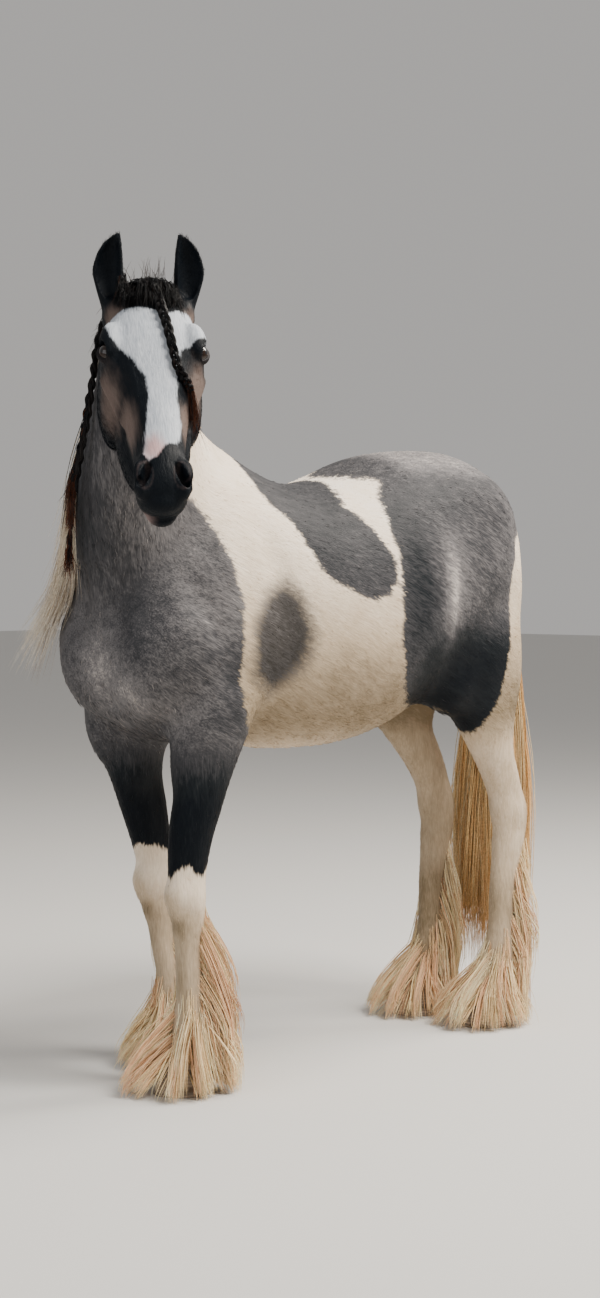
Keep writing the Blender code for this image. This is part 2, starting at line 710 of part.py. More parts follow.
def lids(head, side):
    """Lids round an eye: a shell over the ball, open by an almond-shaped slit."""
    frame = head_frame()
    middle = eye_middle(side)
    radius = EYE_RADIUS + LID_THICKNESS
    bm = bmesh.new()
    place = Matrix.Translation(middle)
    bmesh.ops.create_uvsphere(bm, u_segments=14, v_segments=8, radius=radius, matrix=place)
    boolean(head, new_object("lid_shell", bm), "UNION")
    out = (frame.to_3x3() @ Vector((0.05, side * 0.80, 0.60))).normalized()
    along = (frame.to_3x3() @ Vector((1.0, 0.0, 0.0))).normalized()
    along = (along - out * along.dot(out)).normalized()
    across = out.cross(along)
    slit = []
    for depth, flare in ((0.004, 1.0), (0.040, 1.25)):
        points = []
        for i in range(14):
            angle = 2 * math.pi * i / 14
            c, s = math.cos(angle), math.sin(angle)
            high = SLIT_HALF_HEIGHT * abs(s) ** 1.3 * math.copysign(1.0, s)
            wide = SLIT_HALF_LENGTH * c
            points.append(middle + out * depth + along * (flare * wide) + across * (flare * high))
        slit.append(points)
    boolean(head, loft("slit", slit), "DIFFERENCE")


def face_hollows(head):
    """Nostrils, and the line of the mouth pressed into the lips."""
    frame = head_frame()
    for side in (-1, 1):
        place, radii = (0.520, side * 0.058, -0.042), (0.021, 0.016, 0.010)
        boolean(head, ellipsoid(place, radii, roll=38, yaw=side * 24, frame=frame), "DIFFERENCE")
    path = []
    tree = surface_tree(head)
    for i in range(15):
        angle = math.radians(-82 + 164 * i / 14)
        far = Vector((0.440 + 0.25 * math.cos(angle), 0.20 * math.sin(angle), MOUTH_LINE))
        near = Vector((0.455, 0.0, MOUTH_LINE))
        start = frame @ far
        hit = tree.ray_cast(start, (frame @ near - start).normalized())[0]
        path.append(hit)
    boolean(head, tube(path, [0.0022] * len(path), 6), "DIFFERENCE")


def surface_tree(obj):
    bm = bmesh.new()
    bm.from_mesh(obj.data)
    tree = BVHTree.FromBMesh(bm)
    bm.free()
    return tree


def lock(path, across, half_width, half_thickness):
    """A flat lock along its path, widest past its root and drawn out to a thin tip."""
    taper = (0.75, 1.0, 0.95, 0.80, 0.55, 0.10) if len(path) > 5 else (0.8, 1.0, 0.80, 0.12)
    rings = []
    for i, point in enumerate(path):
        along = (path[min(i + 1, len(path) - 1)] - path[max(i - 1, 0)]).normalized()
        side = (across - along * across.dot(along)).normalized()
        flat = side.cross(along)
        share = i / (len(path) - 1) * (len(taper) - 1)
        low = min(int(share), len(taper) - 2)
        size = taper[low] + (taper[low + 1] - taper[low]) * (share - low)
        wide, thick = half_width * size, max(half_thickness * size, TIP_HALF)
        rings.append([point + side * wide, point + flat * thick, point - side * wide, point - flat * thick])
    return loft("lock", rings)


def braid(path, half_width, pitch):
    """A plait as a flattened rope that swells once for every crossing of its strands."""
    length = sum((b - a).length for a, b in zip(path, path[1:]))
    count = max(4, round(length / pitch))
    rings = []
    side = (path[1] - path[0]).orthogonal()
    for i in range(2 * count + 1):
        share = i / (2 * count)
        point = Vector(catmull(path, share))
        along = Vector(catmull(path, min(share + 0.02, 1.0))) - Vector(catmull(path, max(share - 0.02, 0.0)))
        along.normalize()
        side = (side - along * side.dot(along)).normalized()
        size = half_width * (1.0 if i % 2 else 0.72)
        rings.append(ring(point, side, along.cross(side), size, size * 0.85, size * 0.85, 6))
    return loft("braid", rings)


def fuse_hair(obj, hair):
    """One Boolean union of a body with a collection of locks, which are then removed."""
    group = bpy.data.collections.new("hair")
    bpy.context.scene.collection.children.link(group)
    for piece in hair:
        bpy.context.scene.collection.objects.unlink(piece)
        group.objects.link(piece)
    union = obj.modifiers.new("hair", "BOOLEAN")
    union.operation = "UNION"
    union.operand_type = "COLLECTION"
    union.collection = group
    union.solver = "MANIFOLD"
    apply_modifiers(obj)
    for piece in list(group.objects):
        bpy.data.objects.remove(piece)
    bpy.data.collections.remove(group)
    return largest_surface(obj)


def leg_axis(place, z):
    """Middle of a leg at a height, which is the middle of its hoof near the floor."""
    stations, _ = leg_stations(place)
    rows = [row for row in stations if row[2] >= 0.085]
    for high, low in zip(rows, rows[1:]):
        if low[2] <= z <= high[2]:
            t = (z - low[2]) / (high[2] - low[2])
            return Vector((low[0] + (high[0] - low[0]) * t, low[1] + (high[1] - low[1]) * t, z))
    hoof = HOOF_PLACES[place]
    return Vector((hoof.x, hoof.y, z))


def feather_core(place):
    """The dense hair next to the leg, about half as far out as the locks reach."""
    across, fore = Vector((1, 0, 0)), Vector((0, 1, 0))
    rows = [
        (0.330, 0.020, 0.026, 0.030),
        (0.240, 0.036, 0.048, 0.020),
        (0.160, 0.052, 0.064, 0.006),
        (0.090, 0.078, 0.088, 0.000),
        (0.012, 0.088, 0.096, 0.000),
    ]
    rings = [
        ring(leg_axis(place, z) + Vector((0, back, 0)), across, fore, wide, length, length, 10)
        for z, wide, length, back in rows
    ]
    return loft("feather", rings)


def feather(place, seed):
    """Locks that fall from the back of the cannon and from all round the fetlock."""
    rng = random.Random(seed)
    facts = []
    for i in range(BACK_LOCKS):
        share = i / (BACK_LOCKS - 1)
        angle = math.radians(90 + rng.uniform(-30, 30) + 44 * math.sin(i * 2.4))
        root = FEATHER_TOP - 0.20 * share
        tip = max(2 * FLOOR_CLEARANCE, root - rng.uniform(0.24, 0.30))
        facts.append((angle, root, tip, 0.085 + 0.040 * share, BACK_LOCK_WIDTH))
    for i in range(RING_LOCKS):
        angle = 2 * math.pi * (i + rng.uniform(-0.3, 0.3)) / RING_LOCKS
        root = rng.uniform(0.135, 0.175)
        tip = FLOOR_CLEARANCE + rng.uniform(0.0, 0.012)
        facts.append((angle, root, tip, rng.uniform(0.116, 0.136), RING_LOCK_WIDTH))
    hair = [feather_core(place)]
    for angle, root, tip, reach, width in facts:
        out = Vector((math.cos(angle), math.sin(angle), 0.0))
        turn = rng.uniform(-0.12, 0.12)
        path = []
        for t in (0.0, 0.33, 0.70, 1.0):
            z = root + (tip - root) * t
            swing = Vector((math.cos(angle + turn * t), math.sin(angle + turn * t), 0.0))
            radius = 0.022 + (reach - 0.022) * t**1.15
            radius *= 0.90 + 0.10 * abs(swing.y)
            path.append(leg_axis(place, z) + swing * radius)
        around = Vector((-out.y, out.x, 0.0))
        hair.append(lock(path, around, width * rng.uniform(0.85, 1.15), FEATHER_LOCK_THICKNESS))
    return hair


def tail_hair():
    """The dock with its hair: a core to halfway down and locks to below the hocks."""
    rng = random.Random(31)
    across, fore = Vector((1, 0, 0)), Vector((0, 1, 0))
    rows = [
        (1.372, 0.690, 0.022, 0.024),
        (1.358, 0.760, 0.030, 0.032),
        (1.290, 0.808, 0.042, 0.036),
        (1.130, TAIL_Y, 0.060, 0.038),
        (0.900, TAIL_Y, 0.068, 0.034),
        (0.700, TAIL_Y, 0.052, 0.020),
    ]
    rings = [
        ring(Vector((TAIL_X, y, z)), across, fore, wide, deep, deep, 10) for z, y, wide, deep in rows
    ]
    core = loft("tail", rings)
    hair = []
    for i in range(TAIL_LOCKS):
        angle = 2 * math.pi * (i * 0.618 % 1.0)
        side, back = math.cos(angle), math.sin(angle)
        root = TAIL_TOP - 0.55 * (i / TAIL_LOCKS)
        tip = rng.uniform(0.09, 0.26) + 0.06 * abs(side)
        spread = rng.uniform(0.085, 0.128)
        path = []
        for t in (0.0, 0.2, 0.5, 0.8, 1.0):
            z = root + (tip - root) * t
            wide = 0.018 + (spread - 0.018) * smooth_step(t * 1.5)
            deep = 0.012 + 0.036 * smooth_step(t * 1.8)
            wave = 0.010 * math.sin(7 * t + i)
            path.append(Vector((TAIL_X + side * wide + wave, TAIL_Y + back * deep, z)))
        around = Vector((-(back + 0.2 * math.copysign(1, back)), side * 0.4, 0.0)).normalized()
        hair.append(lock(path, around, rng.uniform(0.026, 0.036), TAIL_LOCK_THICKNESS))
    return core, hair


def draped(tree, point, aside, clearance):
    """The point moved aside until it lies that far off the surface, if it would be within it."""
    start = point + aside * 0.6
    hit = tree.ray_cast(start, -aside, 0.9)[0]
    if hit is None:
        return point
    off = hit + aside * clearance
    return off if (off - point).dot(aside) > 0 else point


def falling(tree, share, length, clearance, steps, swing=0.0, outward=0.0):
    """A path from under the crest down the right side of the neck, swung forwards and outwards."""
    middle, left, crest, along, high, _ = neck_section(share)
    top = middle + crest * high
    aside = Vector((-left.x, -left.y, 0.0)).normalized()
    ahead = Vector((along.x, along.y, 0.0)).normalized()
    path = [top - crest * 0.016]
    far = 0.004
    for i in range(steps):
        t = 0.08 + 0.92 * i / (steps - 1)
        point = top + aside * far + Vector((0, 0, -length * t)) + ahead * (swing * t * t)
        point = draped(tree, point, aside, clearance)
        far = (point - top).dot(aside)
        path.append(point + aside * (outward * t * t))
    return path, along, aside


def mane_hair(tree):
    """Loose locks along the crest, and three black braids near the head."""
    rng = random.Random(12)
    hair = []
    for i in range(MANE_LOCKS):
        share = 0.13 + 0.76 * (i + rng.uniform(-0.3, 0.3)) / (MANE_LOCKS - 1)
        share = min(max(share, 0.13), 0.89)
        length = MANE_LENGTH + 0.22 * smooth_step((0.75 - share) / 0.35) + rng.uniform(-0.06, 0.05)
        low = 1.0 - share
        clearance = 0.004 + 0.012 * low + (0.004 + 0.008 * low) * (i % 3)
        swing = rng.uniform(-0.02, 0.04)
        path, along, _ = falling(tree, share, length, clearance, 4, swing, rng.uniform(0.02, 0.06) * low)
        hair.append(lock(path, along, rng.uniform(0.026, 0.036), MANE_LOCK_THICKNESS))
    for share, length, thick, outward in BRAIDS:
        path, along, aside = falling(tree, share, length, 0.009, 6, 0.0, outward)
        hair.append(braid(path, thick, BRAID_PITCH))
        end = path[-1]
        down = (path[-1] - path[-2]).normalized()
        tuft = [end - down * 0.02, end + down * 0.02, end + down * 0.055, end + down * 0.09 + aside * 0.006]
        hair.append(lock(tuft, along, 0.013, 0.007))
    return hair


def forelock_hair(tree):
    """The tuft between the ears, brushed to the left, and the thin plait down the face."""
    frame = head_frame()
    rng = random.Random(5)
    left, out = frame.to_3x3() @ Vector((0, 1, 0)), frame.to_3x3() @ Vector((0, 0, 1))
    hair = []
    for i in range(FORELOCK_LOCKS):
        aside = -0.052 + 0.104 * i / (FORELOCK_LOCKS - 1)
        reach = rng.uniform(0.075, 0.095)
        path = []
        rows = ((-0.022, -0.030), (-0.004, 0.016), (0.030, 0.020), (0.066, 0.012), (reach, 0.004))
        for along, lift in rows:
            target = frame @ Vector((along, aside * (1.0 - along * 2.0) + along * 0.10, 0.0))
            hit = tree.ray_cast(target + out * 0.3, -out)[0]
            path.append(hit + out * lift)
        hair.append(lock(path, left, 0.017, 0.007))
    path = []
    for along, aside, lift in PLAIT:
        target = frame @ Vector((along, aside, 0.0))
        hit = tree.ray_cast(target + out * 0.3, -out)[0]
        path.append(hit + out * lift if hit is not None else target)
    hair.append(braid(path, PLAIT_HALF_WIDTH, PLAIT_PITCH))
    end = path[-1]
    low = end + Vector((0.012, 0.004, -0.045))
    tip = end + Vector((0.020, 0.008, -0.090))
    hair.append(lock([path[-2], end, low, tip], left, 0.012, 0.006))
    return hair


def near(obj, other):
    """Whether the boxes round two bodies meet."""
    boxes = []
    for body in (obj, other):
        places = [v.co for v in body.data.vertices]
        boxes.append([(min(p[i] for p in places), max(p[i] for p in places)) for i in range(3)])
    return all(a[0] < b[1] and b[0] < a[1] for a, b in zip(*boxes))


def cleared(pieces, bodies):
    """The locks and braids, each cut clear of bodies that they don't grow from."""
    around = [grown(body, CLEAR) for body in bodies]
    whole = []
    for piece in pieces:
        for other in around:
            if near(piece, other):
                boolean(piece, other, "DIFFERENCE", keep_other=True)
        largest_surface(piece)
        if closed(piece):
            whole.append(piece)
        else:
            bpy.data.objects.remove(piece)
    for other in around:
        bpy.data.objects.remove(other)
    return whole


def between_feet(place):
    """The space on this foot's side of the plane midway to the foot beside it."""
    end = place.split("_")[0]
    here = HOOF_PLACES[place]
    there = HOOF_PLACES[end + ("_right" if place.endswith("left") else "_left")]
    return half_space("foot_side", (here + there) / 2, here - there, GAP)


def nodes():
    """Parts the flesh into its named bodies, with a thin gap where two of them meet."""
    coarse, fine = fleshes()
    tree = surface_tree(coarse)
    made = {}
    point, normal = head_plane()

    head = boolean(fine, half_space("ahead", point, normal, GAP / 2), "INTERSECT")
    ears = {}
    for side in (-1, 1):
        ears[side] = largest_surface(boolean(ear_body(side), grown(head, CLEAR), "DIFFERENCE"))
        lids(head, side)
    face_hollows(head)
    fuse_hair(head, cleared(forelock_hair(surface_tree(head)), ears.values()))
    boolean(head, half_space("ahead", point, normal, GAP / 2), "INTERSECT")

    for place in HOOF_PLACES:
        leg = boolean(copy_of(coarse, "leg"), leg_block(place, GAP / 2), "INTERSECT")
        cut = KNEE_CUT if place.startswith("front") else HOCK_CUT
        over = half_space("over", (0, 0, cut), (0, 0, 1), GAP / 2)
        under = half_space("under", (0, 0, cut), (0, 0, -1), GAP / 2)
        upper = boolean(copy_of(leg, "upper"), over, "INTERSECT")
        lower = boolean(leg, under, "INTERSECT")
        hoof = hoof_body(place)
        above = half_space("above", (0, 0, HOOF_HEIGHT), (0, 0, 1), GAP)
        boolean(lower, above, "INTERSECT")
        fuse_hair(lower, feather(place, len(made)))
        boolean(lower, grown(hoof, GAP), "DIFFERENCE")
        boolean(lower, between_feet(place), "INTERSECT")
        made["upper_leg_" + place] = (largest_surface(upper), "coat_grey")
        made["lower_leg_" + place] = (largest_surface(lower), "hair_cream")
        made["hoof_" + place] = (hoof, "horn")

    behind = half_space("behind", NECK_BASE, -NECK_BASE_NORMAL, GAP / 2)
    torso = boolean(copy_of(coarse, "torso"), behind, "INTERSECT")
    for place in HOOF_PLACES:
        boolean(torso, leg_block(place, -GAP / 2), "DIFFERENCE")
    largest_surface(torso)

    before = half_space("before", NECK_BASE, NECK_BASE_NORMAL, GAP / 2)
    neck = boolean(coarse, before, "INTERSECT")
    boolean(neck, half_space("back", point, -normal, GAP / 2), "INTERSECT")
    largest_surface(neck)
    fuse_hair(neck, cleared(mane_hair(tree), [torso, head, *ears.values()]))

    tail, locks = tail_hair()
    fuse_hair(tail, locks)
    boolean(tail, grown(torso, CLEAR), "DIFFERENCE")

    for side, word in ((1, "left"), (-1, "right")):
        made["ear_" + word] = (ears[side], "coat_black")
        eye = eye_body(side)
        boolean(head, grown(eye, GAP), "DIFFERENCE")
        made["eye_" + word] = (eye, "eye")
    made["head"] = (largest_surface(head), "coat_black")
    made["neck"] = (largest_surface(neck), "coat_grey")
    made["torso"] = (torso, "coat_cream")
    made["tail"] = (largest_surface(tail), "hair_cream")
    return made


def finish(made):
    """Names, colours and smooth shading, with the whole stood over the middle of its box."""
    corners = [obj.matrix_world @ v.co for obj, _ in made.values() for v in obj.data.vertices]
    low = Vector([min(c[i] for c in corners) for i in range(3)])
    high = Vector([max(c[i] for c in corners) for i in range(3)])
    shift = Vector((-(low.x + high.x) / 2, -(low.y + high.y) / 2, -low.z))
    for name, (obj, slot) in made.items():
        triangulated(obj)
        obj.name = name
        obj.data.name = name
        obj.data.transform(Matrix.Translation(shift))
        obj.data.materials.clear()
        obj.data.materials.append(material(slot, 0.6))
        obj.data.shade_smooth()


def main():
    clear_scene()
    finish(nodes())


main()
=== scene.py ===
import math

import bmesh
import bpy
import numpy as np
from mathutils import Matrix, Vector
from mathutils.bvhtree import BVHTree


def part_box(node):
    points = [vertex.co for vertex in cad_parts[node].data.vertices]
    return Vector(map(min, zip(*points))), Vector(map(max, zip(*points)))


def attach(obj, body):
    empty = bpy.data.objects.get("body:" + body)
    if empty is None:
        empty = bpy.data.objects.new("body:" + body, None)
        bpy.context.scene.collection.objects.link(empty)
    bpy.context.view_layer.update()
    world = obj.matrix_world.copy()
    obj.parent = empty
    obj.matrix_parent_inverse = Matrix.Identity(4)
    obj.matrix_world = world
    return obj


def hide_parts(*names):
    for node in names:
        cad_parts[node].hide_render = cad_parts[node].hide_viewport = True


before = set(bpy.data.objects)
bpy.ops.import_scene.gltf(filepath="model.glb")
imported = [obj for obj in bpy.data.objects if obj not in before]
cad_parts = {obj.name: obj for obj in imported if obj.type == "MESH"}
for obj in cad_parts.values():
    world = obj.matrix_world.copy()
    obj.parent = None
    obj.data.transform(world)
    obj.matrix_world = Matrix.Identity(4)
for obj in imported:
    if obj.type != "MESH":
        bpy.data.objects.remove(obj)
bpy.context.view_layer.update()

# The skin: one hide over barrel, neck, head, ears and legs, with no seam in it.
# The flesh under it is made of lofts along the bones and of muscle masses, fused by a
# voxel remesh, finer from the throat to the muzzle than on the body, and stitched into one.
BODY_STEP = 0.0116
HEAD_STEP = 0.0037
COAT_DEPTH = 0.0012
HEAD_LINE_Y = -0.78
LEGS_TOP_Z = 0.62
POLL = Vector((0.358, -0.858, 1.805))
HEAD_TURN = math.radians(50.5)
FACE_TILT = math.radians(41)
EYE = Vector((0.183, 0.091, -0.028))
EYE_RADIUS = 0.022
LID_THICKNESS = 0.004
WITHERS_Z = 1.515
CROUP_Z = 1.515
BELLY_Z = 0.758
CANNON_RADIUS = 0.031
NECK_BASE = Vector((0.0, -0.505, 1.300))
NECK_BASE_NORMAL = Vector((0.0, -0.838, 0.546))
THROAT_BACK = 0.050
STITCH = 0.003

HOOF_PLACES = {
    "front_left": Vector((0.128, -0.520, 0.0)),
    "front_right": Vector((-0.086, -0.340, 0.0)),
    "hind_left": Vector((0.150, 0.592, 0.0)),
    "hind_right": Vector((-0.090, 0.600, 0.0)),
}
JOINT_PLACES = {
    "front_left": Vector((0.130, -0.524, 0.450)),
    "front_right": Vector((-0.130, -0.372, 0.450)),
    "hind_left": Vector((0.150, 0.680, 0.560)),
    "hind_right": Vector((-0.100, 0.685, 0.560)),
}


def soft(value):
    """A smooth rise from 0 to 1, for a number or an array."""
    value = np.clip(value, 0.0, 1.0)
    return value * value * (3 - 2 * value)


def catmull(points, share):
    """A row at this share of a smooth curve through rows of any number of values."""
    place = min(max(share, 0.0), 1.0) * (len(points) - 1)
    i = min(int(place), len(points) - 2)
    t = place - i
    a, b = points[max(i - 1, 0)], points[i]
    c, d = points[i + 1], points[min(i + 2, len(points) - 1)]
    return [
        0.5 * (2 * q + (r - p) * t + (2 * p - 5 * q + 4 * r - s) * t**2 + (3 * q - p - 3 * r + s) * t**3)
        for p, q, r, s in zip(a, b, c, d)
    ]


def refined(stations, steps):
    """Rows along a smooth curve through the stations, with that many steps from each to the next."""
    count = (len(stations) - 1) * steps
    return [catmull(stations, i / count) for i in range(count + 1)]


def section(centre, side, up, half_side, half_up, half_down, sides, top_power=1.0, low_power=1.0):
    """Points round one section of the flesh. A power over 1 draws that half in to a ridge."""
    points = []
    for i in range(sides):
        angle = 2 * math.pi * i / sides
        c, s = math.cos(angle), math.sin(angle)
        power = top_power if s > 0 else low_power
        height = half_up if s > 0 else half_down
        points.append(
            centre
            + side * (half_side * math.copysign(abs(c) ** power, c))
            + up * (height * math.copysign(abs(s) ** (0.5 + 0.5 / power), s))
        )
    return points


def linked(name, mesh):
    """A new object in the scene that shows a mesh."""
    obj = bpy.data.objects.new(name, mesh)
    bpy.context.scene.collection.objects.link(obj)
    return obj


def from_bmesh(name, bm):
    """An object from a bmesh, with its faces turned outwards."""
    bmesh.ops.recalc_face_normals(bm, faces=bm.faces)
    if bm.calc_volume(signed=True) < 0:
        bmesh.ops.reverse_faces(bm, faces=bm.faces)
    mesh = bpy.data.meshes.new(name)
    bm.to_mesh(mesh)
    bm.free()
    return linked(name, mesh)


def bridged(bm, low, high):
    """Adds the faces between two loops of as many points."""
    count = len(low)
    for i in range(count):
        j = (i + 1) % count
        bm.faces.new((low[i], low[j], high[j], high[i]))


def loft(name, rings):
    """One closed body through rings of equal count, with a face over each end."""
    bm = bmesh.new()
    loops = [[bm.verts.new(p) for p in points] for points in rings]
    for low, high in zip(loops, loops[1:]):
        bridged(bm, low, high)
    bm.faces.new(loops[0])
    bm.faces.new(loops[-1])
    return from_bmesh(name, bm)


def muscle(centre, radii, pitch=0.0, roll=0.0, yaw=0.0, axes=None):
    """A muscle or bone mass: pitch turns it about X, roll about Y, yaw about Z, in degrees."""
    turn = (
        Matrix.Rotation(math.radians(yaw), 4, "Z")
        @ Matrix.Rotation(math.radians(roll), 4, "Y")
        @ Matrix.Rotation(math.radians(pitch), 4, "X")
    )
    place = Matrix.Translation(centre) @ turn @ Matrix.Diagonal((*radii, 1.0))
    if axes is not None:
        place = axes @ place
    bm = bmesh.new()
    bmesh.ops.create_uvsphere(bm, u_segments=20, v_segments=14, radius=1.0, matrix=place)
    return from_bmesh("muscle", bm)


def applied(obj):
    """The object with its modifiers made real."""
    graph = bpy.context.evaluated_depsgraph_get()
    mesh = bpy.data.meshes.new_from_object(obj.evaluated_get(graph))
    obj.modifiers.clear()
    obj.data = mesh
    return obj


def boolean(obj, other, operation):
    """Cuts or joins one object with another, which is used up."""
    cut = obj.modifiers.new("cut", "BOOLEAN")
    cut.operation = operation
    cut.object = other
    cut.solver = "MANIFOLD"
    applied(obj)
    bpy.data.objects.remove(other)
    return obj


def joined(name, pieces):
    """One object of several, which still overlap."""
    bm = bmesh.new()
    for piece in pieces:
        bm.from_mesh(piece.data)
        bpy.data.objects.remove(piece)
    mesh = bpy.data.meshes.new(name)
    bm.to_mesh(mesh)
    bm.free()
    return linked(name, mesh)


def torso_masses():
    """Barrel, chest, withers and croup, as sections along the body from the breast back."""
    # Each row: y, top, bottom, half width, height of the widest place, ridge power on top.
    stations = [
        (-0.670, 1.130, 0.950, 0.080, 1.045, 1.0),
        (-0.635, 1.230, 0.885, 0.150, 1.040, 1.0),
        (-0.570, 1.360, 0.830, 0.195, 1.040, 1.1),
        (-0.480, 1.450, 0.800, 0.212, 1.050, 1.3),
        (-0.390, WITHERS_Z - 0.005, 0.790, 0.222, 1.055, 1.5),
        (-0.320, WITHERS_Z, 0.784, 0.235, 1.060, 1.6),
        (-0.230, 1.466, 0.774, 0.262, 1.060, 1.4),
        (-0.130, 1.424, BELLY_Z + 0.004, 0.288, 1.065, 1.15),
        (-0.020, 1.416, BELLY_Z, 0.303, 1.070, 1.0),
        (0.100, 1.446, BELLY_Z + 0.006, 0.308, 1.085, 0.95),
        (0.220, 1.490, 0.790, 0.297, 1.110, 0.95),
        (0.320, 1.507, 0.835, 0.285, 1.150, 0.95),
        (0.420, CROUP_Z, 0.890, 0.272, 1.190, 0.95),
        (0.540, CROUP_Z - 0.003, 0.950, 0.252, 1.220, 0.95),
        (0.640, 1.478, 1.000, 0.215, 1.230, 1.0),
        (0.715, 1.400, 1.060, 0.160, 1.230, 1.0),
        (0.755, 1.320, 1.120, 0.095, 1.220, 1.0),
    ]
    left, up = Vector((1, 0, 0)), Vector((0, 0, 1))
    rings = [
        section(Vector((0, y, wide)), left, up, half, top - wide, wide - low, 48, power)
        for y, top, low, half, wide, power in refined(stations, 4)
    ]
    pieces = [loft("barrel", rings)]
    for side in (-1, 1):
        pieces += [
            muscle((side * 0.088, -0.600, 0.985), (0.088, 0.085, 0.135), pitch=15),
            muscle((side * 0.135, -0.430, 1.200), (0.080, 0.115, 0.250), pitch=-24, roll=-side * 8),
            muscle((side * 0.155, -0.530, 1.020), (0.072, 0.105, 0.130), pitch=35),
            muscle((side * 0.172, -0.370, 1.030), (0.066, 0.150, 0.135), pitch=-25),
            muscle((side * 0.110, 0.450, 1.290), (0.145, 0.260, 0.190), pitch=8),
            muscle((side * 0.118, 0.590, 1.180), (0.104, 0.140, 0.230), pitch=8),
        ]
    return pieces


# Each row: a point on the crest, the point below it on the throat side, half the width.
NECK_STATIONS = [
    (0.000, -0.250, 1.460, 0.000, -0.580, 0.930, 0.170),
    (0.000, -0.340, 1.525, 0.000, -0.645, 1.040, 0.160),
    (0.020, -0.430, 1.580, 0.025, -0.690, 1.150, 0.142),
    (0.070, -0.528, 1.645, 0.086, -0.735, 1.260, 0.118),
    (0.150, -0.626, 1.712, 0.160, -0.783, 1.370, 0.100),
    (0.236, -0.716, 1.770, 0.228, -0.822, 1.475, 0.090),
    (0.304, -0.788, 1.800, 0.278, -0.850, 1.560, 0.085),
    (0.345, -0.833, 1.795, 0.335, -0.870, 1.625, 0.080),
]


def neck_section(share):
    """Middle, left, crest direction, tangent, half depth and half width at a share of the neck."""
    row = catmull(NECK_STATIONS, share)
    ahead, behind = catmull(NECK_STATIONS, share + 0.02), catmull(NECK_STATIONS, share - 0.02)
    crest, throat = Vector(row[:3]), Vector(row[3:6])
    along = (Vector(ahead[:3]) + Vector(ahead[3:6]) - Vector(behind[:3]) - Vector(behind[3:6])).normalized()
    up = (crest - throat).normalized()
    return (crest + throat) / 2, up.cross(along).normalized(), up, along, (crest - throat).length / 2, row[6]


def neck_masses():
    """The neck, drawn in to a ridge along its crest."""
    rings = []
    for i in range(36):
        middle, left, crest, _, high, half = neck_section(i / 35)
        rings.append(section(middle, left, crest, half, high, high, 40, 1.35, 0.9))
    return [loft("neck_core", rings)]


def axes_at(origin, first, second, third):
    """From a part's own axes, which start at its origin, to the body's."""
    return Matrix.Translation(origin) @ Matrix((first, second, third)).transposed().to_4x4()


def head_axes():
    """The head's own axes run along the face, to the left and out of the face."""
    turn, tilt = HEAD_TURN, FACE_TILT
    along = Vector((math.sin(turn) * math.sin(tilt), -math.cos(turn) * math.sin(tilt), -math.cos(tilt)))
    out = Vector((math.sin(turn) * math.cos(tilt), -math.cos(turn) * math.cos(tilt), math.sin(tilt)))
    return axes_at(POLL, along, out.cross(along), out)


HEAD = head_axes()
# The plane between head and neck, behind the ears and the corner of the jaw.
THROAT = HEAD @ Vector((0.012, 0.0, -0.140))
THROAT_NORMAL = (HEAD.to_3x3() @ Vector((0.68, 0.0, 0.73))).normalized()
# The body's own axes start at the middle of its trunk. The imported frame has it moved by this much.
STAND = (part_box("eye_left")[0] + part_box("eye_left")[1]) / 2 - HEAD @ EYE


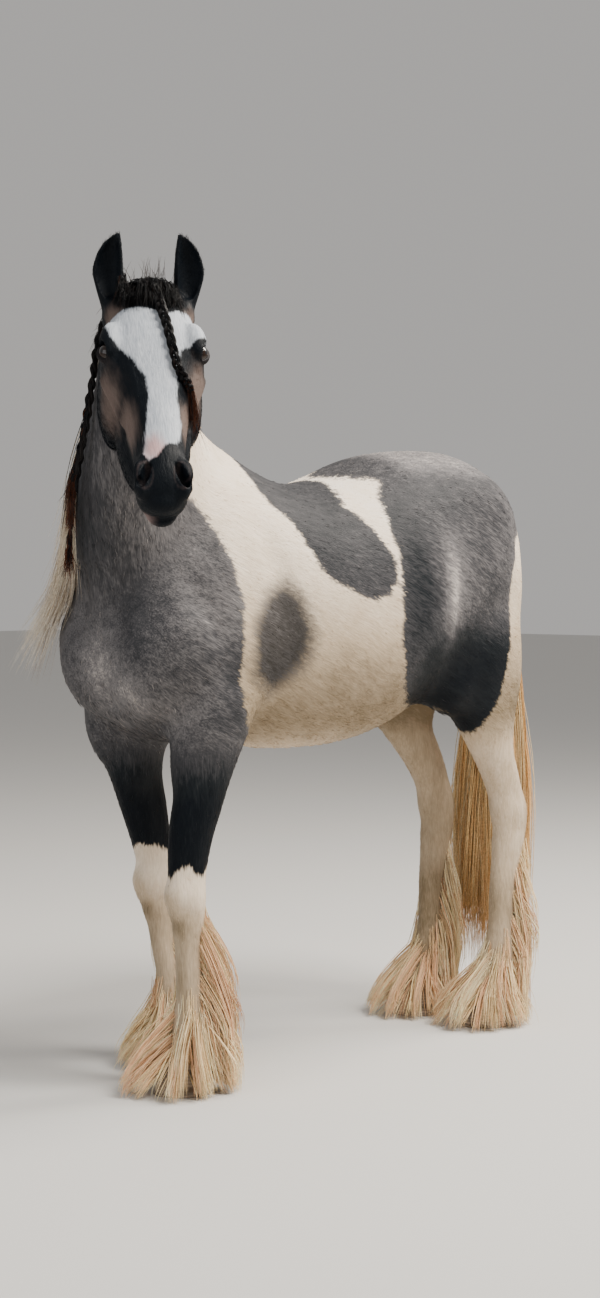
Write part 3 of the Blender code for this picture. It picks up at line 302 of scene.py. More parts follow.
def head_masses():
    """Skull, jaw, muzzle and lips, in the head's own axes, moved to the end of the neck."""
    # Each row: place along the face, face line, jaw line, half width, widest depth, powers.
    stations = [
        (-0.030, -0.045, -0.130, 0.038, -0.085, 1.0, 1.0),
        (-0.005, -0.014, -0.180, 0.070, -0.080, 0.9, 1.0),
        (0.045, 0.006, -0.225, 0.088, -0.075, 0.85, 1.0),
        (0.105, 0.015, -0.256, 0.103, -0.070, 0.80, 1.1),
        (0.170, 0.016, -0.272, 0.110, -0.068, 0.80, 1.2),
        (0.225, 0.009, -0.270, 0.105, -0.075, 0.85, 1.25),
        (0.280, 0.001, -0.240, 0.086, -0.072, 0.9, 1.25),
        (0.338, -0.003, -0.210, 0.068, -0.072, 0.9, 1.1),
        (0.395, -0.005, -0.177, 0.058, -0.072, 0.9, 1.0),
        (0.442, -0.006, -0.153, 0.053, -0.070, 0.9, 0.95),
        (0.490, -0.009, -0.142, 0.055, -0.069, 0.9, 0.95),
        (0.530, -0.018, -0.134, 0.055, -0.072, 0.9, 1.0),
        (0.558, -0.036, -0.126, 0.047, -0.078, 1.0, 1.0),
        (0.574, -0.060, -0.110, 0.028, -0.085, 1.0, 1.0),
    ]
    left, out = Vector((0, 1, 0)), Vector((0, 0, 1))
    rings = []
    for along, face, jaw, half, wide, top_power, low_power in refined(stations, 4):
        points = section(
            Vector((along, 0, wide)), left, out, half, face - wide, wide - jaw, 48, top_power, low_power
        )
        rings.append([HEAD @ p for p in points])
    pieces = [loft("skull", rings)]
    for side in (-1, 1):
        pieces += [
            muscle((0.156, side * 0.087, -0.015), (0.052, 0.026, 0.026), axes=HEAD, yaw=side * 8),
            muscle((0.192, side * 0.084, -0.042), (0.044, 0.020, 0.030), axes=HEAD),
            muscle((0.190, side * 0.075, -0.160), (0.110, 0.036, 0.092), axes=HEAD),
            muscle((0.345, side * 0.046, -0.150), (0.120, 0.030, 0.052), axes=HEAD, yaw=-side * 9),
            muscle((0.280, side * 0.074, -0.075), (0.080, 0.013, 0.013), axes=HEAD, yaw=-side * 14),
            muscle((0.505, side * 0.037, -0.050), (0.064, 0.021, 0.035), axes=HEAD, yaw=side * 6),
            muscle((0.512, side * 0.048, -0.030), (0.028, 0.011, 0.015), axes=HEAD, yaw=side * 6),
            muscle((0.036, side * 0.072, -0.062), (0.046, 0.028, 0.046), axes=HEAD),
            muscle(EYE * Vector((1, side, 1)), (EYE_RADIUS + LID_THICKNESS,) * 3, axes=HEAD),
        ]
    pieces += [
        muscle((0.550, 0.0, -0.072), (0.036, 0.044, 0.030), axes=HEAD),
        muscle((0.546, 0.0, -0.116), (0.036, 0.034, 0.022), axes=HEAD),
        muscle((0.505, 0.0, -0.130), (0.036, 0.030, 0.024), axes=HEAD),
    ]
    return pieces


def ear_axes(side):
    """An ear's own axes run across it, out of its mouth and up."""
    base = HEAD @ Vector((0.020, side * 0.078, -0.050))
    face = Vector((math.sin(HEAD_TURN), -math.cos(HEAD_TURN), 0.0))
    outer = Vector((math.cos(HEAD_TURN), math.sin(HEAD_TURN), 0.0)) * side
    up = (Vector((0, 0, 1)) + face * 0.10 + outer * 0.04).normalized()
    mouth = (face + outer * 0.10).normalized()
    mouth = (mouth - up * mouth.dot(up)).normalized()
    inwards = -(outer - up * outer.dot(up) - mouth * outer.dot(mouth)).normalized()
    return axes_at(base, inwards, mouth, up)


def ear(side):
    """A leaf-shaped cone, hollowed from its mouth, with its tip curved inwards."""
    # Each row: height, half width, half depth, place across (inwards is plus), place forwards.
    shell = [
        (-0.035, 0.020, 0.020, 0.002, -0.004),
        (0.000, 0.023, 0.023, 0.000, -0.003),
        (0.040, 0.030, 0.026, -0.003, 0.000),
        (0.076, 0.034, 0.025, -0.005, 0.002),
        (0.106, 0.030, 0.020, -0.001, 0.004),
        (0.132, 0.022, 0.013, 0.006, 0.007),
        (0.149, 0.012, 0.007, 0.015, 0.009),
        (0.158, 0.004, 0.003, 0.024, 0.010),
    ]
    cup = [
        (0.020, 0.010, 0.010, -0.002, 0.016),
        (0.035, 0.018, 0.018, -0.003, 0.019),
        (0.066, 0.026, 0.024, -0.005, 0.021),
        (0.100, 0.025, 0.024, -0.003, 0.021),
        (0.126, 0.016, 0.016, 0.004, 0.018),
        (0.144, 0.007, 0.008, 0.010, 0.015),
    ]
    axes = ear_axes(side)
    bodies = []
    for rows in (shell, cup):
        rings = []
        for high, wide, deep, inwards, forwards in refined(rows, 4):
            middle = Vector((inwards, forwards, high))
            points = section(middle, Vector((1, 0, 0)), Vector((0, 1, 0)), wide, deep, deep, 28)
            rings.append([axes @ p for p in points])
        bodies.append(loft("ear", rings))
    return boolean(bodies[0], bodies[1], "DIFFERENCE")


def leg_stations(place):
    """Middle of each section of a leg, then half its width across and half its length fore and aft."""
    side = 1 if place.endswith("left") else -1
    hoof, joint = HOOF_PLACES[place], JOINT_PLACES[place]
    if place.startswith("front"):
        fetlock = hoof.lerp(joint, 0.36) + Vector((0, 0.014, 0))
        return [
            (side * 0.166, -0.440, 0.920, 0.070, 0.105),
            (side * 0.160, -0.446, 0.840, 0.066, 0.098),
            (joint.x * 0.4 + side * 0.094, joint.y * 0.4 - 0.268, 0.720, 0.056, 0.078),
            (joint.x * 0.8 + side * 0.033, joint.y * 0.8 - 0.090, 0.600, 0.048, 0.062),
            (joint.x + side * 0.002, joint.y + 0.004, 0.510, 0.043, 0.051),
            (joint.x, joint.y, 0.455, 0.047, 0.052),
            (joint.x, joint.y + 0.004, 0.410, 0.043, 0.047),
            (joint.x * 0.8 + hoof.x * 0.2, joint.y * 0.8 + hoof.y * 0.2 + 0.010, 0.350, CANNON_RADIUS, 0.040),
            (joint.x * 0.6 + hoof.x * 0.4, joint.y * 0.6 + hoof.y * 0.4 + 0.014, 0.270, CANNON_RADIUS, 0.038),
            (fetlock.x, fetlock.y + 0.002, 0.205, CANNON_RADIUS + 0.002, 0.041),
            (fetlock.x, fetlock.y + 0.003, 0.165, 0.041, 0.048),
            (hoof.x, hoof.y * 0.6 + fetlock.y * 0.4, 0.125, 0.037, 0.041),
            (hoof.x, hoof.y, 0.085, 0.047, 0.051),
            (hoof.x, hoof.y, 0.060, 0.044, 0.048),
        ]
    fetlock = hoof.lerp(joint, 0.32) + Vector((0, 0.016, 0))
    low_x, low_y = joint.x * 0.4 + hoof.x * 0.6, fetlock.y * 0.8 + joint.y * 0.2
    return [
        (side * 0.150, 0.500, 1.080, 0.090, 0.170),
        (side * 0.155, 0.500, 0.960, 0.082, 0.150),
        (side * 0.150, 0.535, 0.850, 0.068, 0.115),
        (joint.x * 0.6 + side * 0.060, joint.y - 0.090, 0.740, 0.053, 0.078),
        (joint.x, joint.y - 0.032, 0.640, 0.043, 0.060),
        (joint.x, joint.y, 0.565, 0.043, 0.062),
        (joint.x, joint.y, 0.505, 0.044, 0.054),
        (joint.x * 0.9 + hoof.x * 0.1, joint.y - 0.010, 0.440, 0.038, 0.046),
        (joint.x * 0.6 + hoof.x * 0.4, joint.y * 0.7 + hoof.y * 0.3 - 0.002, 0.350, 0.033, 0.041),
        (low_x, low_y + 0.002, 0.250, CANNON_RADIUS + 0.002, 0.041),
        (fetlock.x, fetlock.y + 0.004, 0.175, 0.043, 0.050),
        (fetlock.x, fetlock.y * 0.5 + hoof.y * 0.5, 0.130, 0.038, 0.042),
        (hoof.x, hoof.y + 0.002, 0.088, 0.047, 0.051),
        (hoof.x, hoof.y, 0.060, 0.045, 0.048),
    ]


def leg_masses(place):
    """One leg down to its coronet, with the masses of shoulder or thigh that it hangs from."""
    side = 1 if place.endswith("left") else -1
    across, fore = Vector((1, 0, 0)), Vector((0, 1, 0))
    rings = [
        section(Vector((x, y, z)), across, fore, wide, length, length, 28)
        for x, y, z, wide, length in refined(leg_stations(place), 4)
    ]
    pieces = [loft("leg", rings)]
    joint = JOINT_PLACES[place]
    if place.startswith("front"):
        pieces += [
            muscle((side * 0.158, -0.470, 0.870), (0.068, 0.090, 0.140), pitch=-8),
            muscle((side * 0.132, -0.452 - side * 0.028, 0.780), (0.062, 0.084, 0.140), pitch=-8),
            muscle((joint.x, joint.y + 0.040, 0.445), (0.022, 0.020, 0.030)),
        ]
    else:
        pieces += [
            muscle((side * 0.145, 0.400, 1.080), (0.105, 0.135, 0.240), pitch=-12),
            muscle((side * 0.160, 0.400, 0.930), (0.072, 0.095, 0.120), pitch=25),
            muscle((side * 0.135, 0.610, 1.000), (0.085, 0.105, 0.270), pitch=5),
            muscle((side * 0.145, 0.610, 0.820), (0.055, 0.075, 0.150), pitch=14),
            muscle((joint.x, joint.y + 0.018, 0.650), (0.018, 0.022, 0.120), pitch=12),
            muscle((joint.x, joint.y + 0.046, 0.566), (0.021, 0.022, 0.038), pitch=8),
        ]
    return pieces


def fused(obj, step, light, broad):
    """Makes overlapping masses one skin. The broad smoothing takes only trunk, thighs and shoulders."""
    remesh = obj.modifiers.new("fuse", "REMESH")
    remesh.mode = "VOXEL"
    remesh.voxel_size = step
    applied(obj)
    if broad:
        trunk = obj.vertex_groups.new(name="trunk")
        for vertex in obj.data.vertices:
            _, y, z = vertex.co
            weight = soft((z - LEGS_TOP_Z) / 0.16) * soft((y - HEAD_LINE_Y) / 0.10)
            trunk.add([vertex.index], float(weight), "REPLACE")
        smooth = obj.modifiers.new("broad", "SMOOTH")
        smooth.factor = 0.5
        smooth.iterations = broad
        smooth.vertex_group = "trunk"
    smooth = obj.modifiers.new("light", "SMOOTH")
    smooth.factor = 0.5
    smooth.iterations = light
    applied(obj)
    obj.vertex_groups.clear()
    return obj


def eye_axes(side):
    """An eye's own axes run along the lids, across them and out of the eye."""
    turn = HEAD.to_3x3()
    out = (turn @ Vector((0.05, side * 0.80, 0.60))).normalized()
    along = (turn @ Vector((1.0, 0.0, 0.0))).normalized()
    along = (along - out * along.dot(out)).normalized()
    return axes_at(HEAD @ (EYE * Vector((1, side, 1))), along, out.cross(along), out)


LID_LONG = 0.0195
LID_HIGH = 0.0120


def lid_edge(angle):
    """The almond of the open lids, along and across the eye, at an angle round it."""
    c, s = math.cos(angle), math.sin(angle)
    return LID_LONG * c, LID_HIGH * math.copysign(abs(s) ** 1.3, s)


def fine_head():
    """Neck, head and ears at the fine step, with the eyes opened and the nostrils hollowed."""
    head = joined("head", neck_masses() + head_masses() + [ear(-1), ear(1)])
    fused(head, HEAD_STEP, 6, 0)
    for side in (-1, 1):
        axes = eye_axes(side)
        rings = []
        for depth, flare in ((0.004, 0.96), (0.040, 1.30)):
            points = [lid_edge(2 * math.pi * i / 32) for i in range(32)]
            rings.append([axes @ Vector((x * flare, y * flare, depth)) for x, y in points])
        boolean(head, loft("slit", rings), "DIFFERENCE")
        for centre, radii, yaw in (
            ((0.529, side * 0.037, -0.018), (0.021, 0.0085, 0.018), 16),
            ((0.540, side * 0.044, -0.030), (0.013, 0.0100, 0.018), 24),
            ((0.518, side * 0.033, -0.026), (0.024, 0.0075, 0.012), 14),
        ):
            boolean(head, muscle(centre, radii, 0, 30, side * yaw, HEAD), "DIFFERENCE")
    return fused(head, HEAD_STEP, 1, 0)


def stitched(body, head):
    """One skin from the body behind the throat and the finer head before it."""
    normal = THROAT_NORMAL
    point = THROAT - normal * THROAT_BACK
    bm = bmesh.new()
    rims = []
    for piece, way in ((body, 1), (head, -1)):
        part = bmesh.new()
        part.from_mesh(piece.data)
        bmesh.ops.bisect_plane(
            part, geom=part.verts[:] + part.edges[:] + part.faces[:],
            plane_co=point - normal * (way * STITCH), plane_no=normal * way, clear_outer=True,
        )
        mesh = bpy.data.meshes.new("part")
        part.to_mesh(mesh)
        part.free()
        before = len(bm.verts)
        bm.from_mesh(mesh)
        bm.verts.ensure_lookup_table()
        rims.append([v for v in bm.verts[before:] if any(len(e.link_faces) == 1 for e in v.link_edges)])
        bpy.data.objects.remove(piece)
    across = normal.orthogonal().normalized()
    above = normal.cross(across)
    turns = []
    for rim in rims:
        middle = sum((v.co for v in rim), Vector()) / len(rim)
        angle = {v: math.atan2((v.co - middle).dot(above), (v.co - middle).dot(across)) for v in rim}
        turns.append(sorted(((angle[v], v.index, v) for v in rim), key=lambda row: row[:2]))
    i = j = 0
    first, second = turns
    while i < len(first) or j < len(second):
        a, b = first[i % len(first)][2], second[j % len(second)][2]
        after_a = first[i + 1][0] if i + 1 < len(first) else math.inf
        after_b = second[j + 1][0] if j + 1 < len(second) else math.inf
        if j >= len(second) or (i < len(first) and after_a <= after_b):
            bm.faces.new((a, first[(i + 1) % len(first)][2], b))
            i += 1
        else:
            bm.faces.new((a, second[(j + 1) % len(second)][2], b))
            j += 1
    near = [v for v in bm.verts if abs((v.co - point).dot(normal)) < STITCH * 4]
    for _ in range(6):
        bmesh.ops.smooth_vert(bm, verts=near, factor=0.5, use_axis_x=True, use_axis_y=True, use_axis_z=True)
    bmesh.ops.recalc_face_normals(bm, faces=bm.faces)
    return from_bmesh("skin", bm)


flesh = torso_masses() + neck_masses() + head_masses()
for place in HOOF_PLACES:
    flesh += leg_masses(place)
skin = stitched(fused(joined("flesh", flesh), BODY_STEP, 5, 60), fine_head())


# The markings of the hide: a slate mantle over neck, chest and forelegs, roan patches on back,
# flank and rump, white between them, and a blaze. Each is a named outline in the side view of
# the body, or in the front view of the face, and the far side has them shifted and bent.
MANTLE = [
    (-0.51, 1.35), (-0.488, 1.327), (-0.472, 1.293), (-0.452, 1.247), (-0.435, 1.19), (-0.419, 1.13),
    (-0.425, 1.05), (-0.43, 0.97), (-0.428, 0.90), (-0.40, 0.84), (-0.33, 0.80), (-0.24, 0.72),
    (-0.24, 0.30), (-1.40, 0.30), (-1.40, 2.20), (-0.92, 1.72), (-0.80, 1.60), (-0.70, 1.50),
    (-0.60, 1.41),
]
SMUDGE = [
    (-0.385, 1.09), (-0.345, 1.15), (-0.28, 1.180), (-0.24, 1.13), (-0.215, 1.05), (-0.235, 0.97),
    (-0.31, 0.91), (-0.39, 0.95), (-0.40, 1.03),
]
SADDLE = [
    (-0.29, 1.39), (-0.275, 1.355), (-0.235, 1.32), (-0.21, 1.25), (-0.19, 1.212), (-0.166, 1.176),
    (-0.124, 1.16), (-0.081, 1.135), (-0.03, 1.127), (0.02, 1.145), (0.050, 1.186), (0.055, 1.232),
    (0.034, 1.277), (0.015, 1.318), (-0.012, 1.355), (0.015, 1.392), (0.040, 1.424), (0.05, 1.60),
    (-0.30, 1.60),
]
RUMP = [
    (0.02, 1.60), (0.03, 1.432), (0.15, 1.424), (0.107, 1.385), (0.093, 1.356), (0.077, 1.303),
    (0.070, 1.232), (0.062, 1.186), (0.054, 1.14), (0.05, 1.03), (0.10, 0.93), (0.17, 0.87), (0.26, 0.85),
    (0.36, 0.84), (0.44, 0.79), (0.49, 0.77), (0.545, 0.86), (0.575, 0.94), (0.594, 1.02), (0.590, 1.12),
    (0.585, 1.19), (0.62, 1.25), (0.69, 1.32), (0.74, 1.40), (0.74, 1.60),
]
# The thigh patch darkens the roan over the lower thigh and the fold at the stifle. In that fold its dark is
# also painted shade, as is the rump patch's grey where its lower edge is drawn down to the belly.
THIGH = [
    (0.19, 0.99), (0.27, 1.03), (0.40, 1.05), (0.60, 1.01), (0.70, 0.96), (0.60, 0.87), (0.49, 0.72),
    (0.36, 0.78), (0.24, 0.81), (0.17, 0.86),
]
BLAZE = [
    (0.073, -0.063), (0.080, -0.030), (0.091, 0.000), (0.095, 0.037), (0.062, 0.078), (0.075, 0.100),
    (0.160, 0.112), (0.178, 0.085), (0.200, 0.055), (0.235, 0.045), (0.269, 0.042), (0.330, 0.038),
    (0.379, 0.044), (0.430, 0.040), (0.449, 0.030), (0.459, 0.008), (0.489, -0.013), (0.494, -0.027),
    (0.474, -0.037), (0.376, -0.025), (0.320, -0.019), (0.275, -0.024), (0.233, -0.045), (0.199, -0.065),
    (0.170, -0.091), (0.120, -0.100), (0.085, -0.085),
]


def away_from(points, starts, ends):
    """How far each point is from the nearest of the straight lines between starts and ends."""
    far = np.full(len(points), np.inf)
    for a, b in zip(starts, ends):
        edge, way = b - a, points - a
        t = np.clip(way @ edge / (edge @ edge), 0, 1)
        far = np.minimum(far, np.linalg.norm(way - t[:, None] * edge, axis=1))
    return far


def inside(places, outline):
    """How far each place lies within a closed outline, in metres, and less than 0 outside it."""
    corners = np.array(outline)
    ends = np.roll(corners, -1, axis=0)
    odd = np.zeros(len(places), bool)
    for a, b in zip(corners, ends):
        rise = b[1] - a[1] or 1.0
        level = (a[1] > places[:, 1]) != (b[1] > places[:, 1])
        odd ^= level & (places[:, 0] < a[0] + (places[:, 1] - a[1]) * (b[0] - a[0]) / rise)
    far = away_from(places, corners, ends)
    return np.where(odd, far, -far)


def glow(points, centre, reach):
    """1 at a centre, falling softly to 0 at about one and a half times the reach along each axis."""
    away = (points - np.array(centre)) / np.array(reach)
    return np.exp(-(away * away).sum(axis=1))


def in_head(points):
    """The points in the head's own axes."""
    turn = np.array(HEAD.inverted())
    return points @ turn[:3, :3].T + turn[:3, 3]


def parts(points):
    """How much each point belongs to the head, the neck and the legs, each from 0 to 1."""
    on_head = soft(((points - np.array(THROAT)) @ np.array(THROAT_NORMAL) + 0.03) / 0.06)
    on_neck = soft(((points - np.array(NECK_BASE)) @ np.array(NECK_BASE_NORMAL) + 0.02) / 0.12)
    on_legs = soft((0.84 - points[:, 2]) / 0.12)
    return on_head, on_neck * (1 - on_head) * (1 - on_legs), on_legs * (1 - on_head)


def markings(points):
    """What the hide's colours are made of at each point, as one array for each quality."""
    x, y, z = points.T
    far_side = soft(-x / 0.16)
    side_y = y + far_side * (0.05 + 0.05 * np.sin(z * 7))
    side_z = z - far_side * (0.03 + 0.04 * np.sin(y * 6))
    side = np.stack([side_y, side_z], 1)
    on_head, on_neck, on_legs = parts(points)
    mantle, smudge, saddle, rump = (inside(side, outline) for outline in (MANTLE, SMUDGE, SADDLE, RUMP))
    hind_right = soft(-x / 0.05) * (y > 0.2)
    rump = rump - hind_right * np.maximum(0.0, 1.02 - z) * 2.0
    sock = z - (0.505 + 0.035 * soft(-x / 0.05) + 0.012 * np.sin(x * 90) + 0.010 * np.cos(y * 80))
    mantle = np.where((y < -0.1) & (z < 0.75), np.minimum(mantle, sock), mantle)
    patches = np.maximum(np.maximum(mantle, saddle), rump)
    thigh = soft((inside(side, THIGH) + 0.07) / 0.14) * soft((x - 0.01) / 0.09)
    tone = np.full(len(points), 0.52)
    # Lighter and darker places on the roan, partly its own and mostly painted light and shade: painted
    # highlights on the breast, the shoulder, the sides of the neck, the rump and a narrow stripe along the
    # fold between flank and thigh, painted shade round that stripe and a painted shadow under the jaw.
    for strength, centre, reach in (
        (0.14, (0.22, -0.44, 1.14), (0.30, 0.12, 0.17)),
        (0.10, (0.10, -0.62, 1.12), (0.20, 0.14, 0.18)),
        (0.26, (0.00, -0.66, 0.96), (0.06, 0.12, 0.09)),
        (0.20, (0.09, -0.65, 0.93), (0.04, 0.12, 0.07)),
        (-0.16, (0.11, -0.66, 1.10), (0.06, 0.14, 0.12)),
        (-0.14, (0.20, -0.42, 0.98), (0.10, 0.08, 0.10)),
        (0.16, (0.15, -0.55, 0.86), (0.05, 0.10, 0.06)),
        (-0.20, (0.02, -0.78, 1.32), (0.09, 0.14, 0.18)),
        (0.16, (0.17, -0.64, 1.38), (0.07, 0.12, 0.14)),
        (0.16, (-0.13, -0.70, 1.28), (0.06, 0.14, 0.26)),
        (-0.12, (0.20, -0.12, 1.28), (0.30, 0.20, 0.18)),
        (0.10, (0.28, 0.30, 1.16), (0.30, 0.10, 0.16)),
        (0.30, (0.275, 0.278, 1.14), (0.30, 0.032, 0.15)),
        (-0.21, (0.30, 0.14, 1.16), (0.20, 0.07, 0.24)),
        (-0.10, (0.22, 0.30, 1.38), (0.16, 0.10, 0.06)),
        (0.16, (0.20, 0.62, 1.24), (0.20, 0.08, 0.12)),
    ):
        tone += strength * glow(points, centre, reach)
    # Painted light: the top of the croup is made paler.
    tone += 0.26 * soft((z - 1.42) / 0.06) * soft((y - 0.20) / 0.10)
    # The thigh's own dark, which in the fold at the stifle is also painted shade.
    tone -= 0.45 * thigh
    tone -= 0.12 * soft((smudge + 0.02) / 0.06)
    front = (y < -0.15).astype(float)
    tone -= front * 0.56 * soft((0.82 - z) / 0.21)
    tone = np.clip(tone * (1 - on_head) + 0.04 * on_head, 0.0, 1.0)
    face = in_head(points)
    blaze = inside(face[:, :2], BLAZE)
    blaze = np.where((face[:, 2] > -0.075) & (on_head > 0.5), blaze, -0.1)
    bay = np.zeros(len(points))
    for centre, reach in (
        ((0.275, -0.100, -0.085), (0.075, 0.040, 0.070)),
        ((0.365, -0.060, -0.055), (0.065, 0.030, 0.040)),
        ((0.270, 0.095, -0.060), (0.070, 0.040, 0.070)),
        ((0.370, 0.058, -0.045), (0.055, 0.026, 0.040)),
        ((0.080, -0.075, -0.030), (0.040, 0.030, 0.040)),
        ((0.080, 0.090, -0.040), (0.040, 0.030, 0.040)),
    ):
        bay = np.maximum(bay, glow(face, centre, reach))
    bay *= on_head
    pink = 0.95 * glow(face, (0.466, -0.014, -0.012), (0.044, 0.030, 0.030))
    rims = np.zeros(len(points))
    for mirror in (-1, 1):
        away = (face - np.array((0.529, mirror * 0.037, -0.020))) / np.array((0.030, 0.016, 0.026))
        rims = np.maximum(rims, np.exp(-(((np.linalg.norm(away, axis=1) - 1.0) / 0.22) ** 2)))
    bare = glow(face, (0.552, -0.034, -0.120), (0.036, 0.026, 0.026)) + 0.30 * rims
    # Painted shade in the white hide's tan: a darker cream over the whole side that deepens down the barrel
    # to the belly, and darker hind legs. All legs are also made darker, most on the cannons.
    shade = soft((1.32 - z) / 0.52) * (1 - on_legs)
    tan = 0.32 + 0.62 * shade + on_legs * (0.10 + 0.20 * soft((0.44 - z) / 0.10) + 0.18 * (y > 0))
    # Darker on the backs of the hocks, on the fronts of the knees, just below them and down the fronts of the
    # fore cannons.
    for place, joint in JOINT_PLACES.items():
        if place.startswith("hind"):
            tan += 0.34 * glow(points, joint + Vector((0, 0.045, -0.03)), (0.05, 0.03, 0.09))
        else:
            tan += 0.34 * glow(points, joint + Vector((0, -0.045, -0.065)), (0.045, 0.04, 0.024))
            tan += 0.22 * glow(points, joint + Vector((0, -0.050, -0.005)), (0.022, 0.04, 0.030))
            tan += 0.22 * glow(points, joint + Vector((0, -0.040, -0.190)), (0.020, 0.05, 0.080))
    # Painted light: the hide is made paler on top of the back.
    tan -= 0.10 * glow(points, (0.05, 0.16, 1.45), (0.3, 0.2, 0.2))
    # Painted shade: the right hind leg below the stifle, in the shade of the belly, and the forelegs below
    # the knees are made darker.
    tan += 0.16 * hind_right * soft((0.95 - z) / 0.20) + 0.10 * front * soft((0.50 - z) / 0.10)
    return {
        "patches": np.where(on_head > 0.5, 0.05, patches),
        "smudge": smudge,
        "tone": tone,
        "blaze": blaze,
        "bay": np.clip(bay, 0, 1),
        "pink": np.clip(pink, 0, 1) * on_head,
        "bare": np.clip(bare, 0, 1) * on_head,
        "tan": np.clip(tan, 0, 1),
        "on_head": on_head,
        "on_neck": on_neck,
        "on_legs": on_legs,
    }


# Stops of the two coat colours: roan from black to pale grey, its blacks tinted blue, partly as the coat's
# own blue-black and partly as a painted reflection of the sky, and white hide from white to tan, whose darker
# stops also serve as painted shade.
ROAN = ((0.0, (0.0010, 0.0025, 0.005)), (0.25, (0.009, 0.0115, 0.014)), (0.5, (0.050, 0.049, 0.053)),
        (0.75, (0.160, 0.150, 0.152)), (1.0, (0.44, 0.40, 0.375)))
CREAM = ((0.0, (0.90, 0.84, 0.77)), (0.3, (0.82, 0.70, 0.57)), (0.65, (0.52, 0.41, 0.29)),
         (1.0, (0.20, 0.15, 0.09)))
BAY = (0.126, 0.092, 0.079)
# The blaze is white hair; its colour here is dimmed to a blue-grey as painted shade.
SHADED_BLAZE_WHITE = (0.50, 0.53, 0.58)
MUZZLE_PINK = (0.52, 0.31, 0.30)
BARE_SKIN = (0.27, 0.19, 0.18)
# Painted shade over the blaze's white, from a dark blue-grey to a pale grey, varied by noise.
SHADED_BLAZE_TONES = ((0.0, (0.22, 0.25, 0.30)), (1.0, (0.62, 0.65, 0.69)))


def between(stops, amounts):
    """The colours at these amounts along a row of stops."""
    at = [stop[0] for stop in stops]
    return np.stack([np.interp(amounts, at, [stop[1][i] for stop in stops]) for i in range(3)], 1)


def coat_colour(points, rng):
    """The colour of hairs rooted at these points, each a little lighter or darker than the next, and all
    lighter than the hide as painted light against the shade on thin tufts.
    """
    found = markings(points)
    mixed = rng.normal(0.02, 0.06, len(points)) * (1 + 0.9 * (1 - found["on_head"]))
    roan = between(ROAN, np.clip(found["tone"] + mixed, 0, 1))
    roan = roan + (np.array(BAY) - roan) * soft((found["bay"] - 0.15) / 0.75)[:, None]
    cream = between(CREAM, np.clip(found["tan"] + rng.normal(-0.02, 0.05, len(points)), 0, 1))
    grey = soft((found["patches"] + rng.normal(0, 0.006, len(points)) + 0.004) / 0.010)
    grey = np.maximum(grey, 0.94 * soft((found["smudge"] + 0.030) / 0.062))[:, None]
    white = soft((found["blaze"] + rng.normal(0, 0.003, len(points)) + 0.003) / 0.007)[:, None]
    colour = cream + (roan - cream) * grey
    colour = colour + (np.array(SHADED_BLAZE_WHITE) - colour) * white
    # Painted light: each tuft is made 4 to 26 percent lighter, to offset the shade on its thin tube.
    return colour * rng.uniform(1.04, 1.26, (len(points), 1))


def rows_of(values, key):
    """The places or the normals of a mesh, as one row for each point."""
    flat = np.empty(len(values) * 3, np.float32)
    values.foreach_get(key, flat)
    return flat.reshape(-1, 3).astype(float)


def put_values(mesh, name, kind, key, values):
    """Stores one value for each point of a mesh under a name that its finish reads."""
    layer = mesh.attributes.new(name, kind, "POINT")
    layer.data.foreach_set(key, values.astype(np.float32).ravel())


def pressed(points, line, depth, width):
    """How far each point is moved out of the hide by a ridge along a line, or in by a groove."""
    corners = np.array(line, float)
    return depth * np.exp(-((away_from(points, corners[:-1], corners[1:]) / width) ** 2))


# Ridges and grooves of the face: its line in the head's axes, its height, half its width.
FACE_LINES = [
    (((0.215, 0.106, -0.075), (0.270, 0.088, -0.077), (0.335, 0.068, -0.078)), 0.0050, 0.009),
    (((0.230, 0.103, -0.100), (0.290, 0.082, -0.100), (0.345, 0.064, -0.098)), -0.0045, 0.009),
    (((0.250, 0.052, -0.006), (0.350, 0.040, -0.010), (0.440, 0.034, -0.014)), 0.0022, 0.009),
    (((0.130, 0.074, -0.012), (0.145, 0.078, -0.010)), -0.0055, 0.016),
    (((0.110, 0.098, -0.070), (0.135, 0.104, -0.060)), -0.0030, 0.014),
    (((0.335, 0.066, -0.105), (0.300, 0.078, -0.140), (0.270, 0.088, -0.190)), 0.0032, 0.004),
    (((0.300, 0.078, -0.140), (0.335, 0.062, -0.155)), 0.0024, 0.0035),
    (((0.300, 0.082, -0.060), (0.322, 0.076, -0.066), (0.330, 0.072, -0.086)), -0.0028, 0.0036),
    (((0.284, 0.086, -0.064), (0.300, 0.082, -0.078), (0.312, 0.078, -0.094)), -0.0024, 0.0034),
    (((0.478, 0.060, -0.100), (0.505, 0.056, -0.102), (0.540, 0.046, -0.104), (0.572, 0.024, -0.104),
      (0.580, 0.0, -0.104)), -0.0045, 0.0042),
    (((0.470, 0.052, -0.124), (0.500, 0.046, -0.122), (0.530, 0.036, -0.128), (0.545, 0.0, -0.138)),
     -0.0025, 0.006),
    (((0.492, 0.050, -0.018), (0.520, 0.060, -0.024), (0.545, 0.058, -0.042), (0.540, 0.052, -0.062)),
     0.0030, 0.005),
    (((0.455, 0.054, -0.060), (0.475, 0.060, -0.074), (0.490, 0.062, -0.090)), -0.0016, 0.004),
    (((0.020, 0.080, -0.130), (0.060, 0.098, -0.170), (0.090, 0.100, -0.220)), -0.0050, 0.012),
]
